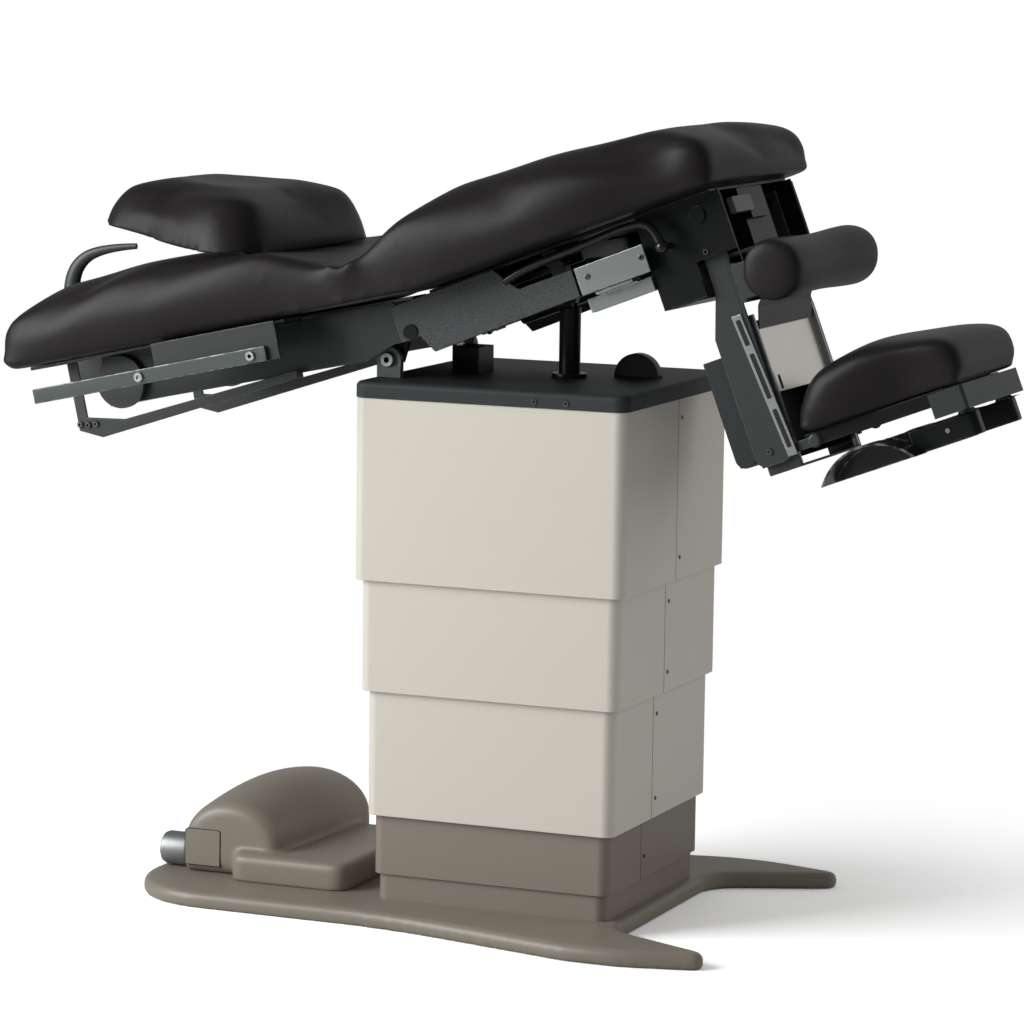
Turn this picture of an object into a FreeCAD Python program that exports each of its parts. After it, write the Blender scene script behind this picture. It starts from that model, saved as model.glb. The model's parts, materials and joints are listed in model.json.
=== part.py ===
import FreeCAD, Part
import os
import re
import Sketcher
from collections import namedtuple

# Procedure chair with a telescoping column, in millimetres.
# The origin is the middle of the column on the floor, +X points to the foot end, +Z is up.
# The seat, back and headrest are drawn level in frames of their own: u along the surface
# towards the foot end, n square to it, and each frame is then tilted about Y.

SIZES = {
    # base plate and plinth
    "plate_thick": 28.0,
    "base_half_width": 303.0,
    "base_head_reach": 660.0,
    "base_head_corner": 160.0,
    "base_waist_x": 150.0,
    "base_waist_round": 900.0,
    "base_shoulder_x": 255.0,
    "base_foot_spread": 392.0,
    "base_shoulder_round": 300.0,
    "base_foot_reach": 430.0,
    "base_tip_outer": 345.0,
    "base_tip_inner": 318.0,
    "base_tip_taper": 6.0,
    "base_tip_round": 16.0,
    "base_bay_margin": 24.9,
    "base_bay_half": 232.0,
    "base_bay_round": 70.0,
    "base_edge_round": 9.0,
    "plinth_inset": 6.0,
    "plinth_wall": 12.0,
    "plinth_top": 72.0,
    # telescoping shrouds
    "column_width": 482.6,
    "shroud_inset": 9.4,
    "shroud_wall": 3.0,
    "shroud_corner": 20.0,
    "shroud_seam_gap": 0.6,
    "upper_seam_y": 3.0,
    "seam_step": 22.0,
    "upper_top": 877.0,
    "upper_bottom": 572.0,
    "middle_bottom": 384.5,
    "lower_bottom": 173.0,
    "lip_depth": 4.0,
    "lip_height": 3.0,
    "lip_play": 0.3,
    # guide tubes and lift cylinder inside the column
    "guide_half": 112.0,
    "guide_wall": 5.0,
    "guide_play": 0.5,
    "guide_outer_top": 400.0,
    "guide_middle_bottom": 258.5,
    "guide_middle_length": 360.0,
    "guide_top_bottom": 490.0,
    "lift_x": -35.0,
    "lift_barrel_round": 38.0,
    "lift_middle_round": 30.0,
    "lift_top_round": 22.0,
    "ram_fit": 0.05,
    "lift_barrel_length": 365.0,
    "lift_top_bottom": 486.0,
    # top cover and top plate
    "cover_top": 904.0,
    "cover_overhang": 1.7,
    "cover_wall": 4.0,
    "cover_edge_round": 9.0,
    "top_plate_thick": 16.0,
    "top_plate_half": 224.0,
    # seat hinge on the cover
    "hinge_x": -214.0,
    "hinge_z": 934.0,
    "lug_outer_y": 163.0,
    "lug_thick": 13.0,
    "lug_half": 22.0,
    "hinge_pin_round": 8.0,
    "hinge_head_round": 12.0,
    "hinge_head_thick": 8.0,
    "pin_fit": 0.05,
    # rests on the cover
    "post_x": -131.0,
    "post_length": 48.0,
    "post_width": 66.0,
    "post_top": 948.0,
    "rest_lug_x": 145.0,
    "rest_lug_y": 50.0,
    "rest_lug_round": 40.0,
    "rest_lug_thick": 22.0,
    # tilt cylinder
    "tilt_x": 45.0,
    "tilt_rod_round": 18.0,
    "tilt_barrel_round": 24.0,
    "tilt_barrel_length": 220.0,
    "tilt_collar_round": 30.0,
    "tilt_collar_thick": 7.0,
    "tilt_rod_length": 225.0,
    "tilt_hole_play": 0.3,
    "roller_round": 14.0,
    "roller_width": 16.0,
    "roller_gap": 0.8,
    "cheek_thick": 6.0,
    "cheek_half": 9.0,
    # seat frame
    "seat_tilt": 21.0,
    "seat_side_y": 205.0,
    "seat_side_thick": 6.0,
    "seat_side_rear": 54.0,
    "seat_side_front": 382.0,
    "seat_side_low": 15.0,
    "seat_side_drop": 17.0,
    "seat_ramp_rear": 36.0,
    "seat_ramp_front": 52.0,
    "seat_step_u": 250.0,
    "seat_step_run": 33.0,
    "seat_step_n": 33.0,
    "hinge_side_play": 2.0,
    "seat_arm_thick": 11.0,
    "seat_arm_low": 45.0,
    "seat_arm_step": 6.0,
    "seat_arm_eye": 16.0,
    "seat_arm_heel": 12.0,
    "cross_bar": 25.0,
    "cross_bar_drop": 2.0,
    "rear_bar_u": 160.0,
    "front_bar_u": 340.0,
    "pan_n": 77.0,
    "pan_thick": 6.0,
    "pan_half_width": 185.0,
    "seat_pan_rear": 119.0,
    "seat_pan_front": 640.0,
    "track_n": 20.0,
    "track_thick": 6.0,
    "track_half": 30.0,
    "track_rear": 190.0,
    "track_front": 335.0,
    "front_beam_thick": 12.0,
    "side_plate_front": 512.0,
    "side_plate_play": 4.0,
    "under_rail_y": 168.0,
    "under_rail_width": 18.0,
    "under_rail_high": 24.0,
    "under_rail_gap": 6.0,
    # front housing and foot hinge
    "box_rear": 500.0,
    "box_front": 652.0,
    "box_half": 178.0,
    "box_wall": 6.0,
    "box_low": 80.0,
    "box_step_u": 578.0,
    "box_step_n": 22.0,
    "foot_hinge_u": 606.0,
    "foot_hinge_n": 48.0,
    "foot_pin_round": 9.0,
    "foot_boss_round": 14.0,
    "foot_boss_thick": 4.0,
    "latch_half": 60.0,
    # release lever
    "lever_side_play": 4.0,
    "lever_round": 7.0,
    "lever_tip_u": 272.0,
    "lever_tip_n": 52.0,
    "lever_bend_u": 505.0,
    "lever_bend_n": 66.0,
    "lever_pivot_u": 545.0,
    "lever_pivot_n": 17.0,
    "lever_stud_round": 5.0,
    "lever_hub_round": 11.0,
    "lever_hub_cover": 2.0,
    "lever_knob_round": 7.35,
    # upholstery
    "cushion_half": 295.0,
    "cushion_side_round": 28.0,
    "cushion_gap": 0.3,
    "seat_cushion_rear": 125.0,
    "seat_cushion_front": 661.0,
    "seat_cushion_top": 213.0,
    "seat_nose_top": 160.0,
    "seat_slope_u": 421.0,
    "cushion_low_round": 34.0,
    "cushion_nose_round": 40.0,
    "cushion_crown_round": 500.0,
    "fold_crease_u": 28.0,
    "fold_crease_n": 160.0,
    "fold_inset": 5.0,
    "back_cushion_head": 709.0,
    "back_cushion_foot": 205.0,
    "back_cushion_top": 190.0,
    "back_nose_top": 135.0,
    "back_slope_u": 480.0,
    # back frame
    "back_pivot_u": 76.0,
    "back_pivot_n": 28.0,
    "back_tilt": 12.5,
    "back_pin_round": 8.0,
    "back_cap_round": 13.0,
    "back_cap_thick": 3.0,
    "back_side_y": 190.0,
    "back_side_thick": 6.0,
    "back_side_head": 587.0,
    "back_side_low": 35.0,
    "back_side_taper": 4.0,
    "back_belly_u": 99.0,
    "back_neck_u": 40.0,
    "back_shoulder_u": 31.0,
    "back_eye": 16.0,
    "back_pan_n": 54.0,
    "back_pan_thick": 6.0,
    "back_pan_half": 260.0,
    "back_pan_head": 690.0,
    "back_pan_foot": 200.0,
    "torque_round": 12.0,
    # back cylinder and crank
    "crank_y": 80.0,
    "crank_thick": 12.0,
    "crank_arm": 24.0,
    "crank_lean": 25.75,
    "crank_half": 8.0,
    "crank_pin_round": 4.0,
    "crank_slot_play": 1.0,
    "back_barrel_round": 14.0,
    "back_barrel_rear": 150.0,
    "back_barrel_front": 300.0,
    "back_rod_round": 6.0,
    "back_rod_tail": 40.0,
    "fork_cheek": 7.0,
    "fork_gap": 1.0,
    "fork_reach": 12.0,
    "fork_bridge": 16.0,
    "fork_top": 7.0,
    "fork_roof": 1.0,
    # side rails
    "rail_head": 661.0,
    "rail_foot": 216.0,
    "rail_low": 3.0,
    "rail_high": 25.0,
    "rail_thick": 9.0,
    "rail_y": 310.0,
    "bracket_thick": 5.0,
    "bracket_head": 475.0,
    "bracket_step": 428.0,
    "bracket_foot": 195.0,
    "rail_screw_head": 456.0,
    "rail_screw_foot": 244.0,
    "rail_screw_round": 7.0,
    "rail_screw_proud": 1.0,
    # roll holder
    "roll_u": 552.0,
    "roll_n": 7.0,
    "roll_round": 40.0,
    "roll_side_play": 6.0,
    "roll_spindle_round": 8.0,
    "roll_disc_round": 45.0,
    "roll_disc_thick": 10.0,
    "roll_disc_gap": 4.0,
    "cradle_y": 214.0,
    "cradle_thick": 5.0,
    "cradle_head": 642.0,
    "cradle_strap": 20.0,
    "cradle_foot": 215.0,
    "cradle_neck_n": 42.0,
    "cradle_scoop_n": 56.0,
    "cradle_tip_high": 28.0,
    "cradle_tip_low": 42.0,
    "cradle_chin_u": 600.0,
    "cradle_chin_n": 80.0,
    "cradle_jaw_n": 62.0,
    "cradle_stand": 30.0,
    "cradle_stand_thick": 10.0,
    # head handle
    "handle_u": 725.0,
    "handle_n": 20.0,
    "handle_thick": 16.0,
    "handle_width": 26.0,
    "handle_pin_round": 5.0,
    "handle_ear_thick": 6.0,
    "handle_ear_gap": 0.5,
    "handle_ear_root": 20.0,
    "handle_hook_n": 246.0,
    "handle_hook_thick": 14.0,
    "handle_hook_reach": 144.0,
    "handle_hook_droop": 12.0,
    "handle_hook_round": 70.0,
    "handle_hook_inner": 44.0,
    # headrest
    "headrest_u": 285.0,
    "headrest_n": 198.0,
    "headrest_rise": 16.1,
    "headrest_post": 36.0,
    "headrest_post_play": 4.0,
    "headrest_neck": 12.0,
    "headrest_knuckle": 8.0,
    "headrest_pin_round": 4.0,
    "headrest_tab": 8.0,
    "headrest_tab_play": 0.3,
    "headrest_board_n": 9.0,
    "headrest_board_thick": 8.0,
    "headrest_length": 272.0,
    "headrest_foot_lap": 15.0,
    "headrest_foot_half": 262.0,
    "headrest_head_half": 140.0,
    "headrest_pad_lip": 14.0,
    "headrest_pad_thick": 84.0,
    "headrest_pad_round": 30.0,
    # foot section
    "foot_arm_y": 156.0,
    "foot_arm_thick": 6.0,
    "foot_rear": 560.0,
    "foot_front": 626.0,
    "foot_low": 371.0,
    "foot_top": 66.0,
    "foot_neck_u": 586.0,
    "foot_web_top": 150.0,
    "foot_web_thick": 5.0,
    "drive_depth": 38.0,
    "drive_half": 150.0,
    "drive_low": 363.0,
    "drive_top": 180.0,
    "drive_wall": 3.0,
    # calf roll
    "calf_u": 706.0,
    "calf_n": 76.0,
    "calf_round": 52.0,
    "calf_half": 236.0,
    "calf_plate_thick": 8.0,
    "calf_plate_half_high": 33.0,
    "calf_block_lap": 6.0,
    "calf_block_width": 36.0,
    "calf_block_reach": 36.0,
    "calf_block_inset": 4.0,
    # foot extension
    "glide_room": 3.0,
    "slider_thick": 5.0,
    "slider_rear": 572.0,
    "slider_front": 630.0,
    "slider_low": 387.0,
    "slider_top": 130.0,
    "slide_rail_width": 8.0,
    "slide_plate_u": 618.0,
    "slide_plate_thick": 3.0,
    "slide_plate_top": 140.0,
    "slide_plate_low": 262.0,
    "glide_thick": 2.7,
    "glide_rear_inset": 8.0,
    "glide_front_inset": 10.0,
    "glide_drop": 50.0,
    "glide_high": 40.0,
    # knee rest
    "knee_pivot_u": 665.0,
    "knee_pivot_n": 355.0,
    "knee_bolt_round": 5.0,
    "knee_head_round": 9.0,
    "knee_bracket_thick": 2.6,
    "knee_bracket_inset": 14.0,
    "knee_bracket_half": 8.0,
    "knee_eye_round": 11.5,
    "tray_rear": 650.0,
    "tray_front": 896.0,
    "tray_play": 0.3,
    "tray_top": 341.0,
    "tray_low": 363.0,
    "tray_wall": 4.0,
    "knee_pad_half": 180.0,
    "knee_pad_rear": 645.0,
    "knee_pad_front": 925.0,
    "knee_pad_top": 240.0,
    "knee_pad_round": 24.0,
    "knee_pad_lean": 55.0,
    "knee_pad_dip": 11.0,
    "knee_pad_slope": 145.0,
    "knee_pad_fall": 24.0,
    "knee_pad_nose": 36.0,
    # stirrups
    "stirrup_u": 905.0,
    "stirrup_y": 103.0,
    "stirrup_boss_round": 14.0,
    "stirrup_pin_round": 8.0,
    "stirrup_top": 384.0,
    "stirrup_low": 424.0,
    "stirrup_arm_rear": 700.0,
    "stirrup_arm_half": 7.0,
    "cup_rear": 656.0,
    "cup_front": 824.0,
    "cup_chord_n": 430.0,
    "cup_rise": 44.0,
    "cup_depth": 66.0,
    "cup_wall": 4.0,
    # pump unit
    "vault_head_x": -594.0,
    "vault_foot_x": -385.0,
    "vault_near_y": -165.0,
    "vault_far_y": 225.0,
    "vault_top": 174.0,
    "vault_head_round": 62.0,
    "vault_foot_round": 140.0,
    "vault_rim_round": 8.0,
    "pump_wall": 4.0,
    "deck_head_x": -493.0,
    "deck_gap": 63.9,
    "deck_near_y": -197.0,
    "deck_far_y": 150.0,
    "deck_top": 75.0,
    "deck_corner": 12.0,
    "panel_head_x": -584.0,
    "panel_foot_x": -521.0,
    "panel_high": 62.0,
    "panel_thick": 2.5,
    "panel_lift": 14.0,
    "inlet_y": -120.0,
    "inlet_z": 57.5,
    "inlet_round": 29.0,
    "inlet_length": 56.0,
    "motor_x": -530.0,
    "motor_y": 150.0,
    "motor_round": 45.0,
    "motor_length": 150.0,
    "pump_block_side": 80.0,
    "tank_head_x": -480.0,
    "tank_near_y": -150.0,
    "tank_length": 150.0,
    "tank_width": 130.0,
    "tank_high": 38.0,
}

doc = FreeCAD.newDocument("procedure_chair")
sheet = doc.addObject("Spreadsheet::Sheet", "dims")
for row, (alias, value) in enumerate(SIZES.items(), 1):
    sheet.set(f"A{row}", alias)
    sheet.set(f"B{row}", str(value))
    sheet.setAlias(f"B{row}", alias)
doc.recompute()

V = FreeCAD.Vector
NEAR = 0.01
nodes = []


# Binding sizes to the sheet

def cell(text):
    """The same formula with each size read from the sheet."""
    def word(match):
        return "dims." + match.group() if match.group() in SIZES else match.group()
    return re.sub(r"[a-z_]+", word, text)


def bind(obj, prop, text):
    obj.setExpression(prop, cell(text))


# Frames: a point on the floor plane x, z and a tilt about Y that lifts the foot end

Frame = namedtuple("Frame", "x z tilt")
LEVEL = Frame("0", "0", "0")
SEAT = Frame("hinge_x", "hinge_z", "seat_tilt")


def spot(frame, u, n):
    """World x and z of a point that is u along the frame and n above it."""
    x = f"{frame.x} + ({u}) * cos({frame.tilt}) - ({n}) * sin({frame.tilt})"
    z = f"{frame.z} + ({u}) * sin({frame.tilt}) + ({n}) * cos({frame.tilt})"
    return x, z


BACK = Frame(*spot(SEAT, "back_pivot_u", "back_pivot_n"), "back_tilt")
HEADREST = Frame(*spot(BACK, "-headrest_u", "headrest_n"), "(back_tilt - headrest_rise)")

# Places that follow from the pieces they fit to

PLINTH_HALF = "(column_width / 2 - 3 * shroud_inset - plinth_inset)"
BAY_X = f"({PLINTH_HALF} + base_bay_margin)"
DECK_FOOT_X = f"(-{PLINTH_HALF} - deck_gap)"
SEAT_ARM_Y = "(lug_outer_y - lug_thick - hinge_side_play - seat_arm_thick)"
LEVER_Y = "(seat_side_y + seat_side_thick + lever_side_play + lever_round)"
ROLL_HALF = "(back_side_y - roll_side_play)"
SLIDER_Y = "(foot_arm_y - glide_room - slider_thick)"
TRAY_HALF = f"({SLIDER_Y} + slider_thick - tray_play)"
CALF_BLOCK_Y = "(foot_arm_y - calf_block_lap)"


def place(obj, frame, at=("0", "0", "0"), turn=None, about=(0, 1, 0)):
    """Puts an object at a point of a frame. turn is its angle about an axis, or the frame's own tilt."""
    x, z = spot(frame, at[0], at[2])
    obj.Placement = FreeCAD.Placement(V(0, 0, 0), FreeCAD.Rotation(V(*about), 1))
    bind(obj, "Placement.Base.x", x)
    bind(obj, "Placement.Base.y", at[1])
    bind(obj, "Placement.Base.z", z)
    bind(obj, "Placement.Rotation.Angle", turn if turn is not None else f"-{frame.tilt}")
    return obj


# Simple solids

def block(frame, low, high):
    """A box between two corners, each given along u, y and n of the frame."""
    obj = doc.addObject("Part::Box", "block")
    for prop, a, b in zip(("Length", "Width", "Height"), low, high):
        bind(obj, prop, f"({b}) - ({a})")
    return place(obj, frame, low)


def bar_y(frame, u, n, y_low, y_high, radius):
    """A round bar across the chair."""
    obj = doc.addObject("Part::Cylinder", "bar")
    bind(obj, "Radius", radius)
    bind(obj, "Height", f"({y_high}) - ({y_low})")
    return place(obj, frame, (u, y_low, n), turn="-90", about=(1, 0, 0))


def bar_n(frame, u, y, n_low, n_high, radius):
    """A round bar square to the frame's surface."""
    obj = doc.addObject("Part::Cylinder", "bar")
    bind(obj, "Radius", radius)
    bind(obj, "Height", f"({n_high}) - ({n_low})")
    return place(obj, frame, (u, y, n_low))


def bar_u(frame, u_low, u_high, y, n, radius):
    """A round bar along the frame."""
    obj = doc.addObject("Part::Cylinder", "bar")
    bind(obj, "Radius", radius)
    bind(obj, "Height", f"({u_high}) - ({u_low})")
    return place(obj, frame, (u_low, y, n), turn=f"90 - {frame.tilt}")


def bar_between(frame, start, end, y, radius):
    """A round bar between two points of the frame, at one y."""
    run = f"({end[0]} - {start[0]})"
    rise = f"({end[1]} - {start[1]})"
    obj = doc.addObject("Part::Cylinder", "bar")
    bind(obj, "Radius", radius)
    bind(obj, "Height", f"sqrt({run} * {run} + {rise} * {rise})")
    slope = f"atan2({rise}; {run}) / (1 deg)"
    return place(obj, frame, (start[0], y, start[1]), turn=f"90 - {frame.tilt} - {slope}")


def ball(frame, u, y, n, radius):
    obj = doc.addObject("Part::Sphere", "ball")
    bind(obj, "Radius", radius)
    return place(obj, frame, (u, y, n))


def value_of(text):
    """A formula's number, for a sketch's first guess."""
    return float(doc.dims.evalExpression(re.sub(r"dims\.", "", cell(text))))


def outline(body, plane_role, points):
    """A closed sketch of straight lines whose corners are bound to the sheet."""
    plane = [f for f in body.Origin.OriginFeatures if f.Role == plane_role][0]
    sketch = body.newObject("Sketcher::SketchObject", "outline")
    sketch.AttachmentSupport = [(plane, "")]
    sketch.MapMode = "FlatFace"
    guess = [V(value_of(x), value_of(y), 0) for x, y in points]
    count = len(points)
    for i in range(count):
        sketch.addGeometry(Part.LineSegment(guess[i], guess[(i + 1) % count]))
    for i in range(count):
        sketch.addConstraint(Sketcher.Constraint("Coincident", i, 2, (i + 1) % count, 1))
    for i, point in enumerate(points):
        for kind, text, first in zip(("DistanceX", "DistanceY"), point, guess[i]):
            number = sketch.addConstraint(Sketcher.Constraint(kind, -1, 1, i, 1, first))
            bind(sketch, f"Constraints[{number}]", text)
    return sketch


def sheet_piece(frame, points, y_low, y_high, rounds=()):
    """A piece with a side outline in u and n, as thick across the chair as y_low to y_high.
    Each entry of rounds is a radius and a test that picks the corners, by u and n, that get it."""
    body = doc.addObject("PartDesign::Body", "sheet_piece")
    pad = body.newObject("PartDesign::Pad", "thickness")
    pad.Profile = outline(body, "XZ_Plane", points)
    pad.SideType = "Symmetric"
    bind(pad, "Length", f"({y_high}) - ({y_low})")
    round_corners(body, "y", rounds)
    return place(body, frame, ("0", f"(({y_low}) + ({y_high})) / 2", "0"))


def plan_piece(frame, points, n_low, n_high, rounds=()):
    """A piece with an outline in plan, between two heights."""
    body = doc.addObject("PartDesign::Body", "plan_piece")
    pad = body.newObject("PartDesign::Pad", "height")
    pad.Profile = outline(body, "XY_Plane", points)
    bind(pad, "Length", f"({n_high}) - ({n_low})")
    round_corners(body, "z", rounds)
    return place(body, frame, ("0", "0", n_low))


def corner(u, second):
    """A test that picks the edges through a corner of an outline, and through its mirror image."""
    at = (value_of(u), abs(value_of(second)))
    return lambda x, y: abs(x - at[0]) < NEAR and abs(abs(y) - at[1]) < NEAR


def round_corners(body, along, rounds):
    """Fillets on the straight edges that run along y or z, chosen by where they stand."""
    for radius, wanted in rounds:
        doc.recompute()
        tip = body.Tip
        chosen = []
        for i, edge in enumerate(tip.Shape.Edges, 1):
            if edge.Curve.TypeId != "Part::GeomLine":
                continue
            run = edge.tangentAt(edge.FirstParameter)
            middle = edge.CenterOfMass
            second = middle.z if along == "y" else middle.y
            if abs(getattr(run, along)) > 1 - NEAR and wanted(middle.x, second):
                chosen.append(f"Edge{i}")
        fillet = body.newObject("PartDesign::Fillet", "corner")
        fillet.Base = (tip, chosen)
        bind(fillet, "Radius", radius)


def round_rim(body, radius, wanted):
    """A fillet on every edge that passes the test."""
    doc.recompute()
    tip = body.Tip
    chosen = [f"Edge{i}" for i, edge in enumerate(tip.Shape.Edges, 1) if wanted(edge)]
    fillet = body.newObject("PartDesign::Fillet", "rim")
    fillet.Base = (tip, chosen)
    bind(fillet, "Radius", radius)
    return body


# Joining and naming

def cut(base, *tools):
    for tool in tools:
        piece = doc.addObject("Part::Cut", "cut")
        piece.Base = base
        piece.Tool = tool
        base = piece
    return base


def common(base, tool):
    piece = doc.addObject("Part::Common", "common")
    piece.Base = base
    piece.Tool = tool
    return piece


def fuse(*pieces):
    piece = doc.addObject("Part::MultiFuse", "fuse")
    piece.Shapes = list(pieces)
    return piece


def node(name, *pieces):
    """Names a finished piece, or a group of separate solids."""
    if len(pieces) == 1:
        piece = pieces[0]
    else:
        piece = doc.addObject("Part::Compound", "group")
        piece.Links = list(pieces)
    piece.Label = name
    nodes.append(piece)
    return piece


def both_sides(make):
    """The near and the far copy of a piece; make gets the low and high y from a span of |y|."""
    return [make(lambda a, b: (f"-({b})", f"-({a})")), make(lambda a, b: (a, b))]


# Base plate: one casting with a rounded head end, two feet and the plinth of the column

def base_plate():
    half = [
        ("-base_head_reach", "base_half_width", "base_head_corner"),
        ("-base_waist_x", "base_half_width", "base_waist_round"),
        ("base_shoulder_x", "base_foot_spread", "base_shoulder_round"),
        ("base_foot_reach", "base_tip_outer", "base_tip_round"),
        ("base_foot_reach - base_tip_taper", "base_tip_inner", "base_tip_round"),
        (BAY_X, "base_bay_half", "base_bay_round"),
    ]
    points = [(x, f"-{y}") for x, y, _ in half] + [(x, y) for x, y, _ in reversed(half)]
    rounds = [(radius, corner(x, y)) for x, y, radius in half]
    plate = plan_piece(LEVEL, points, "0", "plate_thick", rounds)
    top = SIZES["plate_thick"] - NEAR
    round_rim(plate, "base_edge_round", lambda edge: edge.BoundBox.ZMin > top)
    inner = f"({PLINTH_HALF} - plinth_wall)"
    plinth = block(LEVEL, (f"-{PLINTH_HALF}", f"-{PLINTH_HALF}", "plate_thick"),
                   (PLINTH_HALF, PLINTH_HALF, "plinth_top"))
    hollow = block(LEVEL, (f"-{inner}", f"-{inner}", "plate_thick"), (inner, inner, "plinth_top"))
    node("base_plate", fuse(plate, cut(plinth, hollow)))


# Shrouds: four square stages, each two half shells that meet at a seam on the end faces

def shroud(name, step, bottom, top, has_lip, has_flange):
    half = f"(column_width / 2 - {step} * shroud_inset)"
    inner = f"({half} - shroud_wall)"
    seam = f"(upper_seam_y - {step} * seam_step)"
    straight = f"({inner} - shroud_corner)"
    for side, sign in (("near", "-"), ("far", "")):
        edge = f"({seam} {'-' if sign else '+'} shroud_seam_gap / 2)"
        points = [
            (f"-{half}", edge), (f"-{half}", f"{sign}{half}"), (half, f"{sign}{half}"), (half, edge),
            (inner, edge), (inner, f"{sign}{inner}"), (f"-{inner}", f"{sign}{inner}"), (f"-{inner}", edge),
        ]
        rounds = []
        for radius, size in (("shroud_corner - shroud_wall", inner), ("shroud_corner", half)):
            rounds.append((radius, corner(size, size)))
            rounds.append((radius, corner(f"-{size}", size)))
        shell = plan_piece(LEVEL, points, bottom, top, rounds)
        pieces = [shell]
        if has_lip:
            ends = (f"{sign}({inner} - lip_depth)", f"{sign}({inner} + shroud_wall / 2)")
            span = sorted(ends, key=value_of)
            pieces.append(block(LEVEL, (f"-{straight}", span[0], bottom),
                                (straight, span[1], f"({bottom}) + lip_height")))
        if has_flange:
            ends = (f"{sign}({inner} + shroud_wall / 2)", f"{sign}({half} + lip_depth)")
            span = sorted(ends, key=value_of)
            pieces.append(block(LEVEL, (f"-{straight}", span[0], f"({top}) - lip_height"),
                                (straight, span[1], top)))
        node(f"{name}_shroud_{side}", fuse(*pieces) if len(pieces) > 1 else shell)


def shrouds():
    hang = "2 * lip_height + lip_play"
    shroud("base", 3, "plinth_top", f"lower_bottom + {hang}", False, True)
    shroud("lower", 2, "lower_bottom", f"middle_bottom + {hang}", True, True)
    shroud("middle", 1, "middle_bottom", f"upper_bottom + {hang}", True, True)
    shroud("upper", 0, "upper_bottom", "upper_top", True, False)


# Guide tubes: three square tubes that slide in each other, and the two-stage lift cylinder inside them

def square_tube(half, bottom, top):
    outer = block(LEVEL, (f"-({half})", f"-({half})", bottom), (half, half, top))
    inner = f"({half} - guide_wall)"
    return cut(outer, block(LEVEL, (f"-{inner}", f"-{inner}", bottom), (inner, inner, top)))


def lift_column():
    step = "(guide_wall + guide_play)"
    under_plate = "(cover_top - cover_wall - top_plate_thick)"
    middle_top = "guide_middle_bottom + guide_middle_length"
    node("column_outer_tube", square_tube("guide_half", "plate_thick", "guide_outer_top"))
    node("column_middle_tube", square_tube(f"(guide_half - {step})", "guide_middle_bottom", middle_top))
    node("column_top_tube", square_tube(f"(guide_half - 2 * {step})", "guide_top_bottom", under_plate))
    barrel_top = "plate_thick + lift_barrel_length"
    barrel = bar_n(LEVEL, "lift_x", "0", "plate_thick", barrel_top, "lift_barrel_round")
    bore = bar_n(LEVEL, "lift_x", "0", "plate_thick + guide_wall", barrel_top,
                 "lift_middle_round + ram_fit")
    node("lift_barrel", cut(barrel, bore))
    ram = bar_n(LEVEL, "lift_x", "0", "guide_middle_bottom", middle_top, "lift_middle_round")
    ram_bore = bar_n(LEVEL, "lift_x", "0", "guide_middle_bottom + guide_wall", middle_top,
                     "lift_top_round + ram_fit")
    node("lift_ram_middle", cut(ram, ram_bore))
    node("lift_ram_top", bar_n(LEVEL, "lift_x", "0", "lift_top_bottom", under_plate, "lift_top_round"))


# Top of the column: a black moulded cover over a steel plate, with a hole for the tilt cylinder

def top_cover():
    half = "(column_width / 2 + cover_overhang)"
    square = [(f"-{half}", f"-{half}"), (half, f"-{half}"), (half, half), (f"-{half}", half)]
    shell = plan_piece(LEVEL, square, "upper_top", "cover_top",
                       rounds=[("shroud_corner + cover_overhang", lambda x, y: True)])
    top = SIZES["cover_top"] - SIZES["upper_top"] - NEAR
    round_rim(shell, "cover_edge_round", lambda edge: edge.BoundBox.ZMin > top)
    inner = f"({half} - cover_wall)"
    hollow = block(LEVEL, (f"-{inner} + shroud_corner / 2", f"-{inner}", "upper_top"),
                   (f"{inner} - shroud_corner / 2", inner, "cover_top - cover_wall"))
    hollow_ends = block(LEVEL, (f"-{inner}", f"-{inner} + shroud_corner / 2", "upper_top"),
                        (inner, f"{inner} - shroud_corner / 2", "cover_top - cover_wall"))
    plate = block(LEVEL, ("-top_plate_half", "-top_plate_half", "cover_top - cover_wall - top_plate_thick"),
                  ("top_plate_half", "top_plate_half", "cover_top - cover_wall"))
    hole = "tilt_barrel_round + tilt_hole_play"
    holes = [bar_n(LEVEL, "tilt_x", "0", "upper_top", "cover_top", hole) for _ in range(2)]
    node("top_cover", cut(shell, hollow, hollow_ends, holes[0]))
    node("top_plate", cut(plate, holes[1]))


# Seat hinge: two round-topped lugs on the cover, each with a socket-head pin that the seat arms turn on

def seat_hinge():
    def lug(span):
        low, high = span("lug_outer_y - lug_thick", "lug_outer_y")
        foot = block(LEVEL, ("hinge_x - lug_half", low, "cover_top"),
                     ("hinge_x + lug_half", high, "hinge_z"))
        crown = bar_y(LEVEL, "hinge_x", "hinge_z", low, high, "lug_half")
        return cut(fuse(foot, crown), bar_y(LEVEL, "hinge_x", "hinge_z", low, high, "hinge_pin_round"))

    def pin(span):
        shank = bar_y(LEVEL, "hinge_x", "hinge_z", *span(SEAT_ARM_Y, "lug_outer_y"), "hinge_pin_round")
        head = bar_y(LEVEL, "hinge_x", "hinge_z",
                     *span("lug_outer_y", "lug_outer_y + hinge_head_thick"), "hinge_head_round")
        return fuse(shank, head)

    node("hinge_lugs", *both_sides(lug))
    node("hinge_pins", *both_sides(pin))


# Rests on the cover: a square post and a half-round lug that the seat frame comes down to

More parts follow.
